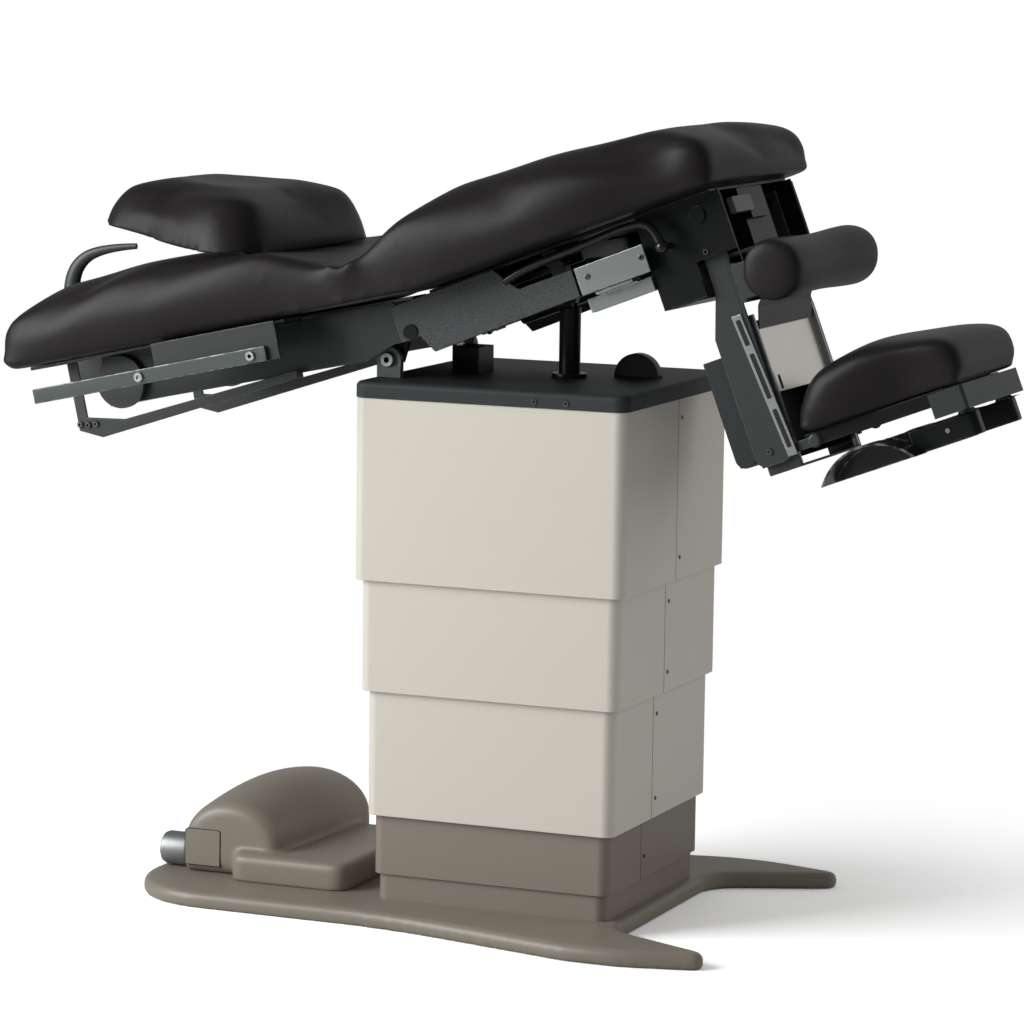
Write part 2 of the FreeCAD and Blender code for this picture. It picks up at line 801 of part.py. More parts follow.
def seat_rests():
    post = block(LEVEL, ("post_x - post_length / 2", "-post_width / 2", "cover_top"),
                 ("post_x + post_length / 2", "post_width / 2", "post_top"))
    disc = bar_y(LEVEL, "rest_lug_x", "cover_top", "rest_lug_y", "rest_lug_y + rest_lug_thick",
                 "rest_lug_round")
    below = block(LEVEL, ("rest_lug_x - rest_lug_round", "rest_lug_y", "cover_top - rest_lug_round"),
                  ("rest_lug_x + rest_lug_round", "rest_lug_y + rest_lug_thick", "cover_top"))
    node("seat_rests", post, cut(disc, below))


# Tilt cylinder: a barrel through the cover, and a rod whose roller lifts the track under the seat

def roller_height():
    """World height of the roller's axis, a little below the tilted track."""
    run = "(tilt_x - hinge_x)"
    drop = "(track_n - roller_round - roller_gap)"
    return f"hinge_z + {run} * tan(seat_tilt) + {drop} / cos(seat_tilt)"


def tilt_cylinder():
    bottom = "cover_top - tilt_barrel_length"
    barrel = bar_n(LEVEL, "tilt_x", "0", bottom, "cover_top", "tilt_barrel_round")
    collar = bar_n(LEVEL, "tilt_x", "0", "cover_top", "cover_top + tilt_collar_thick", "tilt_collar_round")
    bore = bar_n(LEVEL, "tilt_x", "0", f"{bottom} + guide_wall", "cover_top + tilt_collar_thick",
                 "tilt_rod_round + ram_fit")
    node("tilt_cylinder", cut(fuse(barrel, collar), bore))
    axis = roller_height()
    shoulder = f"{axis} - roller_round - 4 * roller_gap"
    rod = bar_n(LEVEL, "tilt_x", "0", f"{shoulder} - tilt_rod_length", shoulder, "tilt_rod_round")
    cheeks = []
    for low, high in (("roller_width / 2 + pin_fit", "roller_width / 2 + cheek_thick"),
                      ("-roller_width / 2 - cheek_thick", "-roller_width / 2 - pin_fit")):
        cheeks.append(block(LEVEL, ("tilt_x - cheek_half", low, shoulder),
                            ("tilt_x + cheek_half", high, f"{axis} + cheek_half")))
    reach = "(roller_width / 2 + cheek_thick)"
    axle = bar_y(LEVEL, "tilt_x", axis, f"-{reach}", reach, "crank_pin_round")
    roller = bar_y(LEVEL, "tilt_x", axis, "-roller_width / 2", "roller_width / 2", "roller_round")
    hole = bar_y(LEVEL, "tilt_x", axis, "-roller_width / 2", "roller_width / 2",
                 "crank_pin_round + pin_fit")
    node("tilt_rod", fuse(rod, axle, *cheeks), cut(roller, hole))


# Seat frame: hinge arms, cross bars, front beams and the roller track, welded into one underframe

def seat_underframe():
    arm_outline = [
        ("-seat_arm_eye", "-seat_arm_heel"), ("seat_arm_eye", "-seat_arm_heel"),
        ("seat_side_rear + seat_arm_step", "seat_arm_low"), ("seat_side_front", "seat_arm_low"),
        ("seat_side_front", "pan_n"), ("seat_side_rear - seat_arm_heel", "pan_n"),
        ("-seat_arm_eye", "seat_arm_eye"),
    ]
    bar_top = "(pan_n - cross_bar_drop)"

    def arm(span):
        low, high = span(SEAT_ARM_Y, f"{SEAT_ARM_Y} + seat_arm_thick")
        plate = sheet_piece(SEAT, arm_outline, low, high)
        return cut(plate, bar_y(SEAT, "0", "0", low, high, "hinge_pin_round + pin_fit"))

    def beam(span):
        low, high = span("seat_side_y - front_beam_thick", "seat_side_y")
        return block(SEAT, ("front_bar_u", low, "-seat_side_drop + side_plate_play"),
                     ("box_rear", high, "seat_step_n"))

    def tie(span):
        low, high = span("seat_side_y - front_beam_thick - cross_bar", "seat_side_y - front_beam_thick")
        return block(SEAT, ("front_bar_u", low, "0"), ("front_bar_u + cross_bar", high, bar_top))

    def web(span):
        low, high = span("track_half - track_thick", "track_half")
        return block(SEAT, ("track_rear", low, "track_n"), ("front_bar_u", high, "pan_n"))

    bars = []
    for u in ("rear_bar_u", "front_bar_u"):
        bars.append(block(SEAT, (u, "-seat_side_y", f"{bar_top} - cross_bar"),
                          (f"{u} + cross_bar", "seat_side_y", bar_top)))
    track = block(SEAT, ("track_rear", "-track_half", "track_n"),
                  ("track_front", "track_half", "track_n + track_thick"))
    pieces = both_sides(arm) + both_sides(beam) + both_sides(tie) + both_sides(web)
    node("seat_underframe", fuse(track, *bars, *pieces))


# Side panels of the seat: textured plates with a stepped top edge, and the steel plates in front of them

def seat_sides():
    panel_outline = [
        ("seat_side_rear", "seat_side_low"), ("seat_side_rear", "pan_n"), ("seat_step_u", "pan_n"),
        ("seat_step_u + seat_step_run", "seat_step_n"), ("seat_side_front", "seat_step_n"),
        ("seat_side_front", "-seat_side_drop + side_plate_play"),
        ("seat_side_rear + seat_ramp_front", "-seat_side_drop"),
        ("seat_side_rear + seat_ramp_rear", "seat_side_low"),
    ]

    def panel(span):
        low, high = span("seat_side_y", "seat_side_y + seat_side_thick")
        plate = sheet_piece(SEAT, panel_outline, low, high)
        return cut(plate, bar_y(SEAT, "back_pivot_u", "back_pivot_n", low, high, "back_pin_round"))

    def steel(span):
        low, high = span("seat_side_y", "seat_side_y + seat_side_thick")
        return block(SEAT, ("seat_side_front + side_plate_play", low, "-seat_side_drop + side_plate_play"),
                     ("side_plate_front", high, "seat_step_n"))

    def rail(span):
        low, high = span("under_rail_y", "under_rail_y + under_rail_width")
        top = "-seat_side_drop + side_plate_play - under_rail_gap"
        bar = block(SEAT, ("seat_side_front", low, f"{top} - under_rail_high"), ("box_rear", high, top))
        low, high = span("under_rail_y", "seat_side_y")
        foot = block(SEAT, ("seat_side_front + cross_bar", low, top),
                     ("box_rear - cross_bar", high, f"{top} + under_rail_gap"))
        return fuse(bar, foot)

    node("seat_side_panels", *both_sides(panel))
    node("side_plates", *both_sides(steel))
    node("under_rails", *both_sides(rail))


def seat_pan():
    node("seat_pan", block(SEAT, ("seat_pan_rear", "-pan_half_width", "pan_n"),
                           ("seat_pan_front", "pan_half_width", "pan_n + pan_thick")))


# Front housing under the seat nose, with the latch body in its middle, open to the foot end

def front_box():
    side_outline = [
        ("box_rear", "-box_low"), ("box_step_u", "-box_low"), ("box_step_u", "-box_step_n"),
        ("box_front", "-box_step_n"), ("box_front", "pan_n"), ("box_rear", "pan_n"),
    ]

    def side(span):
        low, high = span("box_half - box_wall", "box_half")
        plate = sheet_piece(SEAT, side_outline, low, high)
        holes = [bar_y(SEAT, "foot_hinge_u", "foot_hinge_n", low, high, "foot_pin_round")]
        if low.startswith("-"):
            holes.append(bar_y(SEAT, "lever_pivot_u", "lever_pivot_n", low, high, "lever_stud_round"))
        return cut(plate, *holes)

    bottom = block(SEAT, ("box_rear", f"-{SLIDER_Y} + box_wall", "-box_low"),
                   ("foot_rear - 2 * box_wall", f"{SLIDER_Y} - box_wall", "-box_low + box_wall"))
    rear = block(SEAT, ("box_rear", "-box_half", "-box_low"), ("box_rear + box_wall", "box_half", "pan_n"))
    latch = block(SEAT, ("box_rear + box_wall", "-latch_half", "-box_step_n"),
                  ("box_front - 2 * box_wall", "latch_half", "pan_n"))
    nose = block(SEAT, ("box_front - 2 * box_wall", "-latch_half", "box_step_n"),
                 ("box_front", "latch_half / 3", "2 * box_step_n"))
    node("front_box", fuse(*both_sides(side), bottom, rear, latch, nose))


# Pins carried by the seat: back pivots with caps, foot hinge pins with ring bosses, and the lever stud

def seat_pins():
    def back_pin(span):
        shank = bar_y(SEAT, "back_pivot_u", "back_pivot_n",
                      *span("back_side_y", "seat_side_y + seat_side_thick"), "back_pin_round")
        cap = bar_y(SEAT, "back_pivot_u", "back_pivot_n", *span("seat_side_y + seat_side_thick",
                    "seat_side_y + seat_side_thick + back_cap_thick"), "back_cap_round")
        return fuse(shank, cap)

    def foot_pin(span):
        shank = bar_y(SEAT, "foot_hinge_u", "foot_hinge_n",
                      *span("foot_arm_y", "box_half"), "foot_pin_round")
        boss = bar_y(SEAT, "foot_hinge_u", "foot_hinge_n",
                     *span("box_half", "box_half + foot_boss_thick"), "foot_boss_round")
        return fuse(shank, boss)

    stud = bar_y(SEAT, "lever_pivot_u", "lever_pivot_n",
                 f"-{LEVER_Y} - lever_round - lever_hub_cover", "-box_half + box_wall", "lever_stud_round")
    node("seat_pivot_pins", *both_sides(back_pin), *both_sides(foot_pin), stud)


# Release lever: a bent rod beside the near side panel, turning on its stud

def release_lever():
    tip = ("lever_tip_u", "lever_tip_n")
    bend = ("lever_bend_u", "lever_bend_n")
    pivot = ("lever_pivot_u", "lever_pivot_n")
    outer = f"-{LEVER_Y} - lever_round - lever_hub_cover"
    pieces = [
        bar_between(SEAT, tip, bend, f"-{LEVER_Y}", "lever_round"),
        bar_between(SEAT, bend, pivot, f"-{LEVER_Y}", "lever_round"),
        ball(SEAT, tip[0], f"-{LEVER_Y}", tip[1], "lever_knob_round"),
        ball(SEAT, bend[0], f"-{LEVER_Y}", bend[1], "lever_knob_round"),
        bar_y(SEAT, *pivot, outer, "-box_half - pin_fit", "lever_hub_round"),
    ]
    bore = bar_y(SEAT, *pivot, outer, "-box_half", "lever_stud_round + pin_fit")
    node("release_lever", cut(fuse(*pieces), bore))


# Upholstery: plain solids of the foam under the vinyl

def cushion(frame, points, rounds, half, radius):
    body = sheet_piece(frame, points, f"-({half})", half, rounds)
    reach = value_of(half) - NEAR
    round_rim(body, radius, lambda edge: abs(edge.CenterOfMass.y) > reach and edge.BoundBox.YLength < NEAR)
    return body


def seat_cushion():
    low = "pan_n + pan_thick + cushion_gap"
    front = "seat_cushion_front"
    points = [
        ("seat_cushion_rear", low), (front, low), (front, "seat_nose_top"),
        ("seat_slope_u", "seat_cushion_top"), ("seat_cushion_rear", "seat_cushion_top"),
    ]
    rounds = [
        ("cushion_low_round", corner(front, low)),
        ("cushion_nose_round", corner(front, "seat_nose_top")),
        ("cushion_crown_round", corner("seat_slope_u", "seat_cushion_top")),
    ]
    node("seat_cushion", cushion(SEAT, points, rounds, "cushion_half", "cushion_side_round"))


def fold_pad():
    foot = "seat_cushion_rear - cushion_gap"
    head = "-back_cushion_foot + cushion_gap"
    points = [
        spot(SEAT, foot, "pan_n + pan_thick + fold_inset"),
        spot(SEAT, foot, "seat_cushion_top - fold_inset"),
        spot(SEAT, "fold_crease_u", "fold_crease_n"),
        spot(BACK, head, "back_cushion_top - fold_inset"),
        spot(BACK, head, "back_pan_n + back_pan_thick + fold_inset"),
    ]
    half = "cushion_half - fold_inset"
    node("fold_pad", sheet_piece(LEVEL, points, f"-({half})", half))


def back_cushion():
    low = "back_pan_n + back_pan_thick + cushion_gap"
    head = "-back_cushion_head"
    points = [
        ("-back_cushion_foot", low), ("-back_cushion_foot", "back_cushion_top"),
        ("-back_slope_u", "back_cushion_top"), (head, "back_nose_top"), (head, low),
    ]
    rounds = [
        ("cushion_low_round", corner(head, low)),
        ("cushion_nose_round", corner(head, "back_nose_top")),
        ("cushion_crown_round", corner("-back_slope_u", "back_cushion_top")),
    ]
    half = "(headrest_post / 2 + headrest_post_play)"
    well = block(BACK, (f"-headrest_u - {half}", f"-{half}", low),
                 (f"-headrest_u + {half}", half, "back_cushion_top"))
    node("back_cushion", cut(cushion(BACK, points, rounds, "cushion_half", "cushion_side_round"), well))


# Back frame: side plates that reach the pivots, a pan, the torque tube with its crank, and the handle ears

def back_frame():
    side_outline = [
        ("-back_side_head", "-back_side_low + back_side_taper"), ("-back_belly_u", "-back_side_low"),
        ("-back_neck_u", "-back_eye"), ("back_eye", "-back_eye"), ("back_eye", "back_eye"),
        ("-back_shoulder_u", "back_pan_n"), ("-back_side_head", "back_pan_n"),
    ]

    def side(span):
        low, high = span("back_side_y", "back_side_y + back_side_thick")
        plate = sheet_piece(BACK, side_outline, low, high)
        spindle = bar_y(BACK, "-roll_u", "roll_n", low, high, "roll_spindle_round + pin_fit")
        return cut(plate, bar_y(BACK, "0", "0", low, high, "back_pin_round + pin_fit"), spindle)

    def ear(span):
        inner = "handle_thick / 2 + handle_ear_gap"
        low, high = span(inner, f"{inner} + handle_ear_thick")
        points = [
            ("-handle_u - handle_width / 2", "handle_n - handle_width / 2"),
            ("-handle_u + handle_width / 2", "handle_n - handle_width / 2"),
            ("-back_pan_head + handle_ear_root", "back_pan_n"),
            ("-back_pan_head", "back_pan_n + back_pan_thick"),
            ("-handle_u", "back_pan_n"), ("-handle_u - handle_width / 2", "handle_n + handle_width / 2"),
        ]
        return sheet_piece(BACK, points, low, high)

    pan = block(BACK, ("-back_pan_head", "-back_pan_half", "back_pan_n"),
                ("-back_pan_foot", "back_pan_half", "back_pan_n + back_pan_thick"))
    tube = bar_y(BACK, "0", "0", "-back_side_y", "back_side_y", "torque_round")
    reach = "handle_thick / 2 + handle_ear_gap + handle_ear_thick"
    handle_pin = bar_y(BACK, "-handle_u", "handle_n", f"-({reach})", reach, "handle_pin_round")
    lean = "(crank_lean + seat_tilt - back_tilt)"
    pin_u = f"crank_arm * sin({lean})"
    pin_n = f"-crank_arm * cos({lean})"
    crank = doc.addObject("Part::Box", "crank")
    bind(crank, "Length", "2 * crank_half")
    bind(crank, "Width", "crank_thick")
    bind(crank, "Height", "crank_arm + crank_half")
    turn = "(180 - crank_lean - seat_tilt)"
    side_step = f"-crank_half * cos({lean} + 180)"
    side_rise = f"-crank_half * sin({lean} + 180)"
    place(crank, BACK, (side_step, "crank_y - crank_thick / 2", side_rise), turn=turn)
    half = "(crank_thick / 2 + fork_gap + fork_cheek)"
    crank_pin = bar_y(BACK, pin_u, pin_n, f"crank_y - {half}", f"crank_y + {half}", "crank_pin_round")
    node("back_frame", fuse(*both_sides(side), *both_sides(ear), pan, tube, handle_pin, crank, crank_pin))


# Back cylinder: a barrel under the seat pan, and a rod with a slotted fork on the crank pin

def back_cylinder():
    pin_u = "back_pivot_u + crank_arm * sin(crank_lean)"
    pin_n = "back_pivot_n - crank_arm * cos(crank_lean)"
    near = "crank_y - crank_thick / 2"
    far = "crank_y + crank_thick / 2"
    bar_low = "pan_n - cross_bar_drop - cross_bar"
    barrel = bar_u(SEAT, "back_barrel_rear", "back_barrel_front", "crank_y", pin_n, "back_barrel_round")
    bore = bar_u(SEAT, "back_barrel_rear", "back_barrel_front - guide_wall", "crank_y", pin_n,
                 "back_rod_round + ram_fit")
    front = "back_barrel_front - cross_bar"
    rear_hanger = block(SEAT, ("rear_bar_u", near, pin_n), ("rear_bar_u + cross_bar", far, bar_low))
    front_hanger = block(SEAT, (front, near, pin_n), ("back_barrel_front", far, "pan_n"))
    node("back_cylinder", cut(fuse(barrel, rear_hanger, front_hanger), bore))

    bridge = f"{pin_u} + fork_bridge"
    inner = "(crank_thick / 2 + fork_gap)"
    outer = "(crank_thick / 2 + fork_gap + fork_cheek)"
    low = f"{pin_n} - crank_half"
    high = f"{pin_n} + fork_top"
    rod = bar_u(SEAT, f"{bridge} + crank_half", "back_barrel_front - back_rod_tail", "crank_y", pin_n,
                "back_rod_round")
    yoke = block(SEAT, (bridge, f"crank_y - {outer}", low),
                 (f"{bridge} + crank_half", f"crank_y + {outer}", high))
    cheeks = []
    for a, b in ((f"-{outer}", f"-{inner}"), (inner, outer)):
        cheeks.append(block(SEAT, (f"{pin_u} - fork_reach", f"crank_y + {a}", low),
                            (bridge, f"crank_y + {b}", high)))
    slot = block(SEAT, (f"{pin_u} - crank_pin_round - crank_slot_play", f"crank_y - {outer}", low),
                 (f"{pin_u} + crank_pin_round + crank_slot_play", f"crank_y + {outer}",
                  f"{high} - fork_roof"))
    node("back_ram_rod", cut(fuse(rod, yoke, *cheeks), slot))


# Side rails: flat steel bars for clamps, on angle brackets under the back pan

def side_rails():
    web_outline = [
        ("-bracket_head", "-rail_low"), ("-bracket_foot", "-rail_low"),
        ("-bracket_foot", "back_pan_n + back_pan_thick"), ("-bracket_step", "back_pan_n + back_pan_thick"),
        ("-bracket_step", "rail_high - rail_low"), ("-bracket_head", "rail_high - rail_low"),
    ]
    middle_n = "(rail_high / 2 - rail_low)"

    def bracket(span):
        web = sheet_piece(BACK, web_outline, *span("rail_y - bracket_thick", "rail_y"))
        low, high = span("back_side_y + back_side_thick", "rail_y - bracket_thick")
        flange = block(BACK, ("-bracket_step", low, "back_pan_n - bracket_thick"),
                       ("-bracket_foot - bracket_thick", high, "back_pan_n"))
        return fuse(web, flange)

    def rail(span):
        low, high = span("rail_y", "rail_y + rail_thick")
        bar = block(BACK, ("-rail_head", low, "-rail_low"), ("-rail_foot", high, "rail_high - rail_low"))
        holes = [bar_y(BACK, f"-{u}", middle_n, low, high, "rail_screw_round")
                 for u in ("rail_screw_head", "rail_screw_foot")]
        return cut(bar, *holes)

    def screws(span):
        ends = span("rail_y", "rail_y + rail_thick + rail_screw_proud")
        return [bar_y(BACK, f"-{u}", middle_n, *ends, "rail_screw_round")
                for u in ("rail_screw_head", "rail_screw_foot")]

    node("rail_brackets", *both_sides(bracket))
    node("side_rails", *both_sides(rail))
    near, far = both_sides(screws)
    node("rail_screws", *near, *far)


# Roll holder: cradle plates under the head end, and a paper roll on a spindle with end discs

def roll_holder():
    strap = "-cradle_head + cradle_strap"
    cradle_outline = [
        ("-cradle_head", "back_pan_n"), (strap, "back_pan_n"), (strap, "-cradle_neck_n"),
        ("-roll_u", "-cradle_scoop_n"), ("-cradle_foot", "-cradle_tip_high"),
        ("-cradle_foot", "-cradle_tip_low"), ("-cradle_chin_u", "-cradle_chin_n"),
        ("-cradle_head", "-cradle_jaw_n"),
    ]
    side = "back_side_y + back_side_thick"

    def cradle(span):
        plate = sheet_piece(BACK, cradle_outline, *span("cradle_y", "cradle_y + cradle_thick"))
        low, high = span(side, "cradle_y")
        top = "-cradle_tip_high - back_side_taper"
        stand = block(BACK, ("-cradle_foot - cradle_stand", low, f"{top} - cradle_stand_thick"),
                      ("-cradle_foot", high, top))
        return fuse(plate, stand)

    def disc(span):
        start = f"{side} + roll_disc_gap"
        ends = span(start, f"{start} + roll_disc_thick")
        return bar_y(BACK, "-roll_u", "roll_n", *ends, "roll_disc_round")

    ends = f"({side} + roll_disc_gap)"
    spindle = bar_y(BACK, "-roll_u", "roll_n", f"-{ends}", ends, "roll_spindle_round")
    roll = bar_y(BACK, "-roll_u", "roll_n", f"-{ROLL_HALF}", ROLL_HALF, "roll_round")
    core = bar_y(BACK, "-roll_u", "roll_n", f"-{ROLL_HALF}", ROLL_HALF, "roll_spindle_round")
    node("roll_cradle", *both_sides(cradle))
    node("roll_spindle", fuse(spindle, *both_sides(disc)))
    node("paper_roll", cut(roll, core))


# Head handle: a flat hooked bar behind the head end, on a cross pin in its ears

def head_handle():
    rear = "-handle_u - handle_width / 2"
    front = "-handle_u + handle_width / 2"
    low = "handle_n - handle_width / 2"
    under = "handle_hook_n - handle_hook_thick"
    tip = "-handle_u + handle_hook_reach"
    points = [
        (rear, low), (rear, "handle_hook_n"), (tip, "handle_hook_n - handle_hook_droop"),
        (tip, f"{under} - handle_hook_droop"), (front, under), (front, low),
    ]
    rounds = [
        ("handle_hook_round", corner(rear, "handle_hook_n")),
        ("handle_hook_inner", corner(front, under)),
    ]
    bar = sheet_piece(BACK, points, "-handle_thick / 2", "handle_thick / 2", rounds)
    bore = bar_y(BACK, "-handle_u", "handle_n", "-handle_thick / 2", "handle_thick / 2",
                 "handle_pin_round + pin_fit")
    node("head_handle", cut(bar, bore))


# Headrest: a post through the back cushion, a tapered board hinged on it, and its pad

def headrest():
    half = "headrest_post / 2"
    knuckle_top = "headrest_n - headrest_neck"
    post = block(BACK, (f"-headrest_u - {half}", f"-{half}", "back_pan_n + back_pan_thick"),
                 (f"-headrest_u + {half}", half, knuckle_top))
    neck = block(BACK, ("-headrest_u - headrest_knuckle", f"-{half}", knuckle_top),
                 ("-headrest_u + headrest_knuckle", half, "headrest_n"))
    crown = bar_y(HEADREST, "0", "0", f"-{half}", half, "headrest_knuckle")
    reach = f"({half} + headrest_tab)"
    pin = bar_y(HEADREST, "0", "0", f"-{reach}", reach, "headrest_pin_round")
    node("headrest_post", fuse(post, neck, crown, pin))

    def tapered(lip):
        head = f"-headrest_length - {lip} + headrest_foot_lap"
        foot = f"headrest_foot_lap + {lip}"
        return [
            (foot, f"-headrest_foot_half - {lip}"), (foot, f"headrest_foot_half + {lip}"),
            (head, f"headrest_head_half + {lip}"), (head, f"-headrest_head_half - {lip}"),
        ]

    def tab(span):
        low, high = span(f"{half} + headrest_tab_play", reach)
        eye = bar_y(HEADREST, "0", "0", low, high, "headrest_knuckle")
        stem = block(HEADREST, ("-headrest_knuckle", low, "0"),
                     ("headrest_knuckle", high, "headrest_board_n"))
        return cut(fuse(eye, stem), bar_y(HEADREST, "0", "0", low, high, "headrest_pin_round + pin_fit"))

    top = "headrest_board_n + headrest_board_thick"
    board = plan_piece(HEADREST, tapered("0"), "headrest_board_n", top,
                       rounds=[("headrest_pad_round", lambda x, y: True)])
    node("headrest_board", fuse(board, *both_sides(tab)))
    pad = plan_piece(HEADREST, tapered("headrest_pad_lip"), f"{top} + cushion_gap",
                     f"{top} + headrest_pad_thick", rounds=[("2 * headrest_pad_round", lambda x, y: True)])
    pad_top = value_of("headrest_pad_thick - cushion_gap") - NEAR
    round_rim(pad, "headrest_pad_round", lambda edge: edge.BoundBox.ZMin > pad_top)
    node("headrest_pad", pad)


# Foot section: two side arms and a web hung from the seat nose, with the drive housing behind it

def foot_frame():
    arm_outline = [
        ("foot_neck_u", "foot_top"), ("foot_front", "foot_top"), ("foot_front", "-foot_low"),
        ("foot_rear", "-foot_low"), ("foot_rear", "-foot_web_top"), ("foot_neck_u", "-box_low"),
    ]

    def arm(span):
        low, high = span("foot_arm_y", "foot_arm_y + foot_arm_thick")
        plate = sheet_piece(SEAT, arm_outline, low, high)
        eye = bar_y(SEAT, "foot_hinge_u", "foot_hinge_n", low, high, "foot_pin_round + pin_fit")
        return cut(plate, eye)

    web = block(SEAT, ("foot_rear", "-foot_arm_y", "-foot_low"),
                ("foot_rear + foot_web_thick", "foot_arm_y", "-foot_web_top"))
    node("foot_frame", fuse(*both_sides(arm), web))
    housing = block(SEAT, ("foot_rear - drive_depth", "-drive_half", "-drive_low"),
                    ("foot_rear", "drive_half", "-drive_top"))
    hollow = block(SEAT, ("foot_rear - drive_depth + drive_wall", "-drive_half + drive_wall",
                          "-drive_low + drive_wall"),
                   ("foot_rear", "drive_half - drive_wall", "-drive_top - drive_wall"))
    node("foot_drive_cover", cut(housing, hollow))


# Calf roll: a padded bolster across the top of the foot section, on a cross plate with two cradling blocks

def calf_roll():
    plate = block(SEAT, ("foot_front", "-foot_arm_y - foot_arm_thick", "-calf_n - calf_plate_half_high"),
                  ("foot_front + calf_plate_thick", "foot_arm_y + foot_arm_thick",
                   "-calf_n + calf_plate_half_high"))

    def cradle(span):
        low, high = span(CALF_BLOCK_Y, f"{CALF_BLOCK_Y} + calf_block_width")
        front = "foot_front + calf_plate_thick"
        half_high = "(calf_plate_half_high - calf_block_inset)"
        base = block(SEAT, (front, low, f"-calf_n - {half_high}"),
                     (f"{front} + calf_block_reach", high, f"-calf_n + {half_high}"))
        return cut(base, bar_y(SEAT, "calf_u", "-calf_n", low, high, "calf_round + cushion_gap"))

    node("roll_bracket", fuse(plate, *both_sides(cradle)))
    node("calf_roll", bar_y(SEAT, "calf_u", "-calf_n", "-calf_half", "calf_half", "calf_round"))


# Foot extension: a sliding inner frame with steel rails and plate, glides, and the knee rest's pivot bolts

def foot_slider():
    face = f"{SLIDER_Y} + slider_thick"

    def side(span):
        low, high = span(SLIDER_Y, face)
        return block(SEAT, ("slider_rear", low, "-slider_low"), ("slider_front", high, "-slider_top"))

    def glide(span):
        low, high = span(face, f"{face} + glide_thick")
        top = "-slider_top - glide_drop"
        return block(SEAT, ("slider_rear + glide_rear_inset", low, f"{top} - glide_high"),
                     ("slider_front - glide_front_inset", high, top))

    def bracket(span):
        low, high = span(face, f"{face} + knee_bracket_thick")
        bar = block(SEAT, ("slider_rear + knee_bracket_inset", low, "-knee_pivot_n - knee_bracket_half"),
                    ("knee_pivot_u", high, "-knee_pivot_n + knee_bracket_half"))
        return fuse(bar, bar_y(SEAT, "knee_pivot_u", "-knee_pivot_n", low, high, "knee_eye_round"))

    def bolt(span):
        outer = f"{face} + knee_bracket_thick"
        shank = bar_y(SEAT, "knee_pivot_u", "-knee_pivot_n", *span(f"{TRAY_HALF} - 2 * tray_wall", outer),
                      "knee_bolt_round")
        head = bar_y(SEAT, "knee_pivot_u", "-knee_pivot_n", *span(outer, f"{outer} + tray_wall"),
                     "knee_head_round")
        return fuse(shank, head)

    floor = block(SEAT, ("slider_rear", f"-{SLIDER_Y}", "-slider_low"),
                  ("slider_front", SLIDER_Y, "-slider_low + tray_wall"))
    pieces = both_sides(side) + both_sides(glide) + both_sides(bracket) + both_sides(bolt)
    node("foot_slider", fuse(floor, *pieces))

    def rail(span):
        low, high = span(f"{SLIDER_Y} - slide_rail_width", SLIDER_Y)
        return block(SEAT, ("slide_plate_u + slide_plate_thick", low, "-slider_low + tray_wall"),
                     ("slider_front", high, "-slider_top"))

    plate = block(SEAT, ("slide_plate_u", f"-{SLIDER_Y}", "-slide_plate_low"),
                  ("slide_plate_u + slide_plate_thick", SLIDER_Y, "-slide_plate_top"))
    node("slide_steel", *both_sides(rail), plate)


# Knee rest: a channel tray on the extension's bolts, its pad, and the two stirrup pins under it

def knee_rest():
    top = block(SEAT, ("tray_rear", f"-{TRAY_HALF}", "-tray_top - tray_wall"),
                ("tray_front", TRAY_HALF, "-tray_top"))
    end = block(SEAT, ("tray_front - tray_wall", f"-{TRAY_HALF}", "-tray_low"),
                ("tray_front", TRAY_HALF, "-tray_top"))

    def flange(span):
        low, high = span(f"{TRAY_HALF} - tray_wall", TRAY_HALF)
        side = block(SEAT, ("tray_rear", low, "-tray_low"), ("tray_front", high, "-tray_top"))
        hole = bar_y(SEAT, "knee_pivot_u", "-knee_pivot_n", low, high, "knee_bolt_round + pin_fit")
        return cut(side, hole)

    def pin(sign):
        return bar_n(SEAT, "stirrup_u", f"{sign}stirrup_y", "-stirrup_low", "-tray_top - tray_wall",
                     "stirrup_pin_round")

    node("knee_tray", fuse(top, end, *both_sides(flange), pin("-"), pin("")))
    low = "-tray_top + cushion_gap"
    lean = ("knee_pad_rear + knee_pad_lean", "-knee_pad_top - knee_pad_dip")
    nose = ("knee_pad_front", "-knee_pad_top - knee_pad_fall")
    points = [
        ("knee_pad_rear", low), ("knee_pad_front", low), nose,
        ("knee_pad_front - knee_pad_slope", "-knee_pad_top"), lean,
    ]
    rounds = [
        ("knee_pad_round", corner("knee_pad_rear", low)), ("knee_pad_round", corner("knee_pad_front", low)),
        ("knee_pad_nose", corner(*lean)), ("knee_pad_nose", corner(*nose)),
    ]
    node("knee_pad", cushion(SEAT, points, rounds, "knee_pad_half", "knee_pad_round"))


# Stirrups: an arched cup on a flat arm, each swinging out from under the tray on its pin

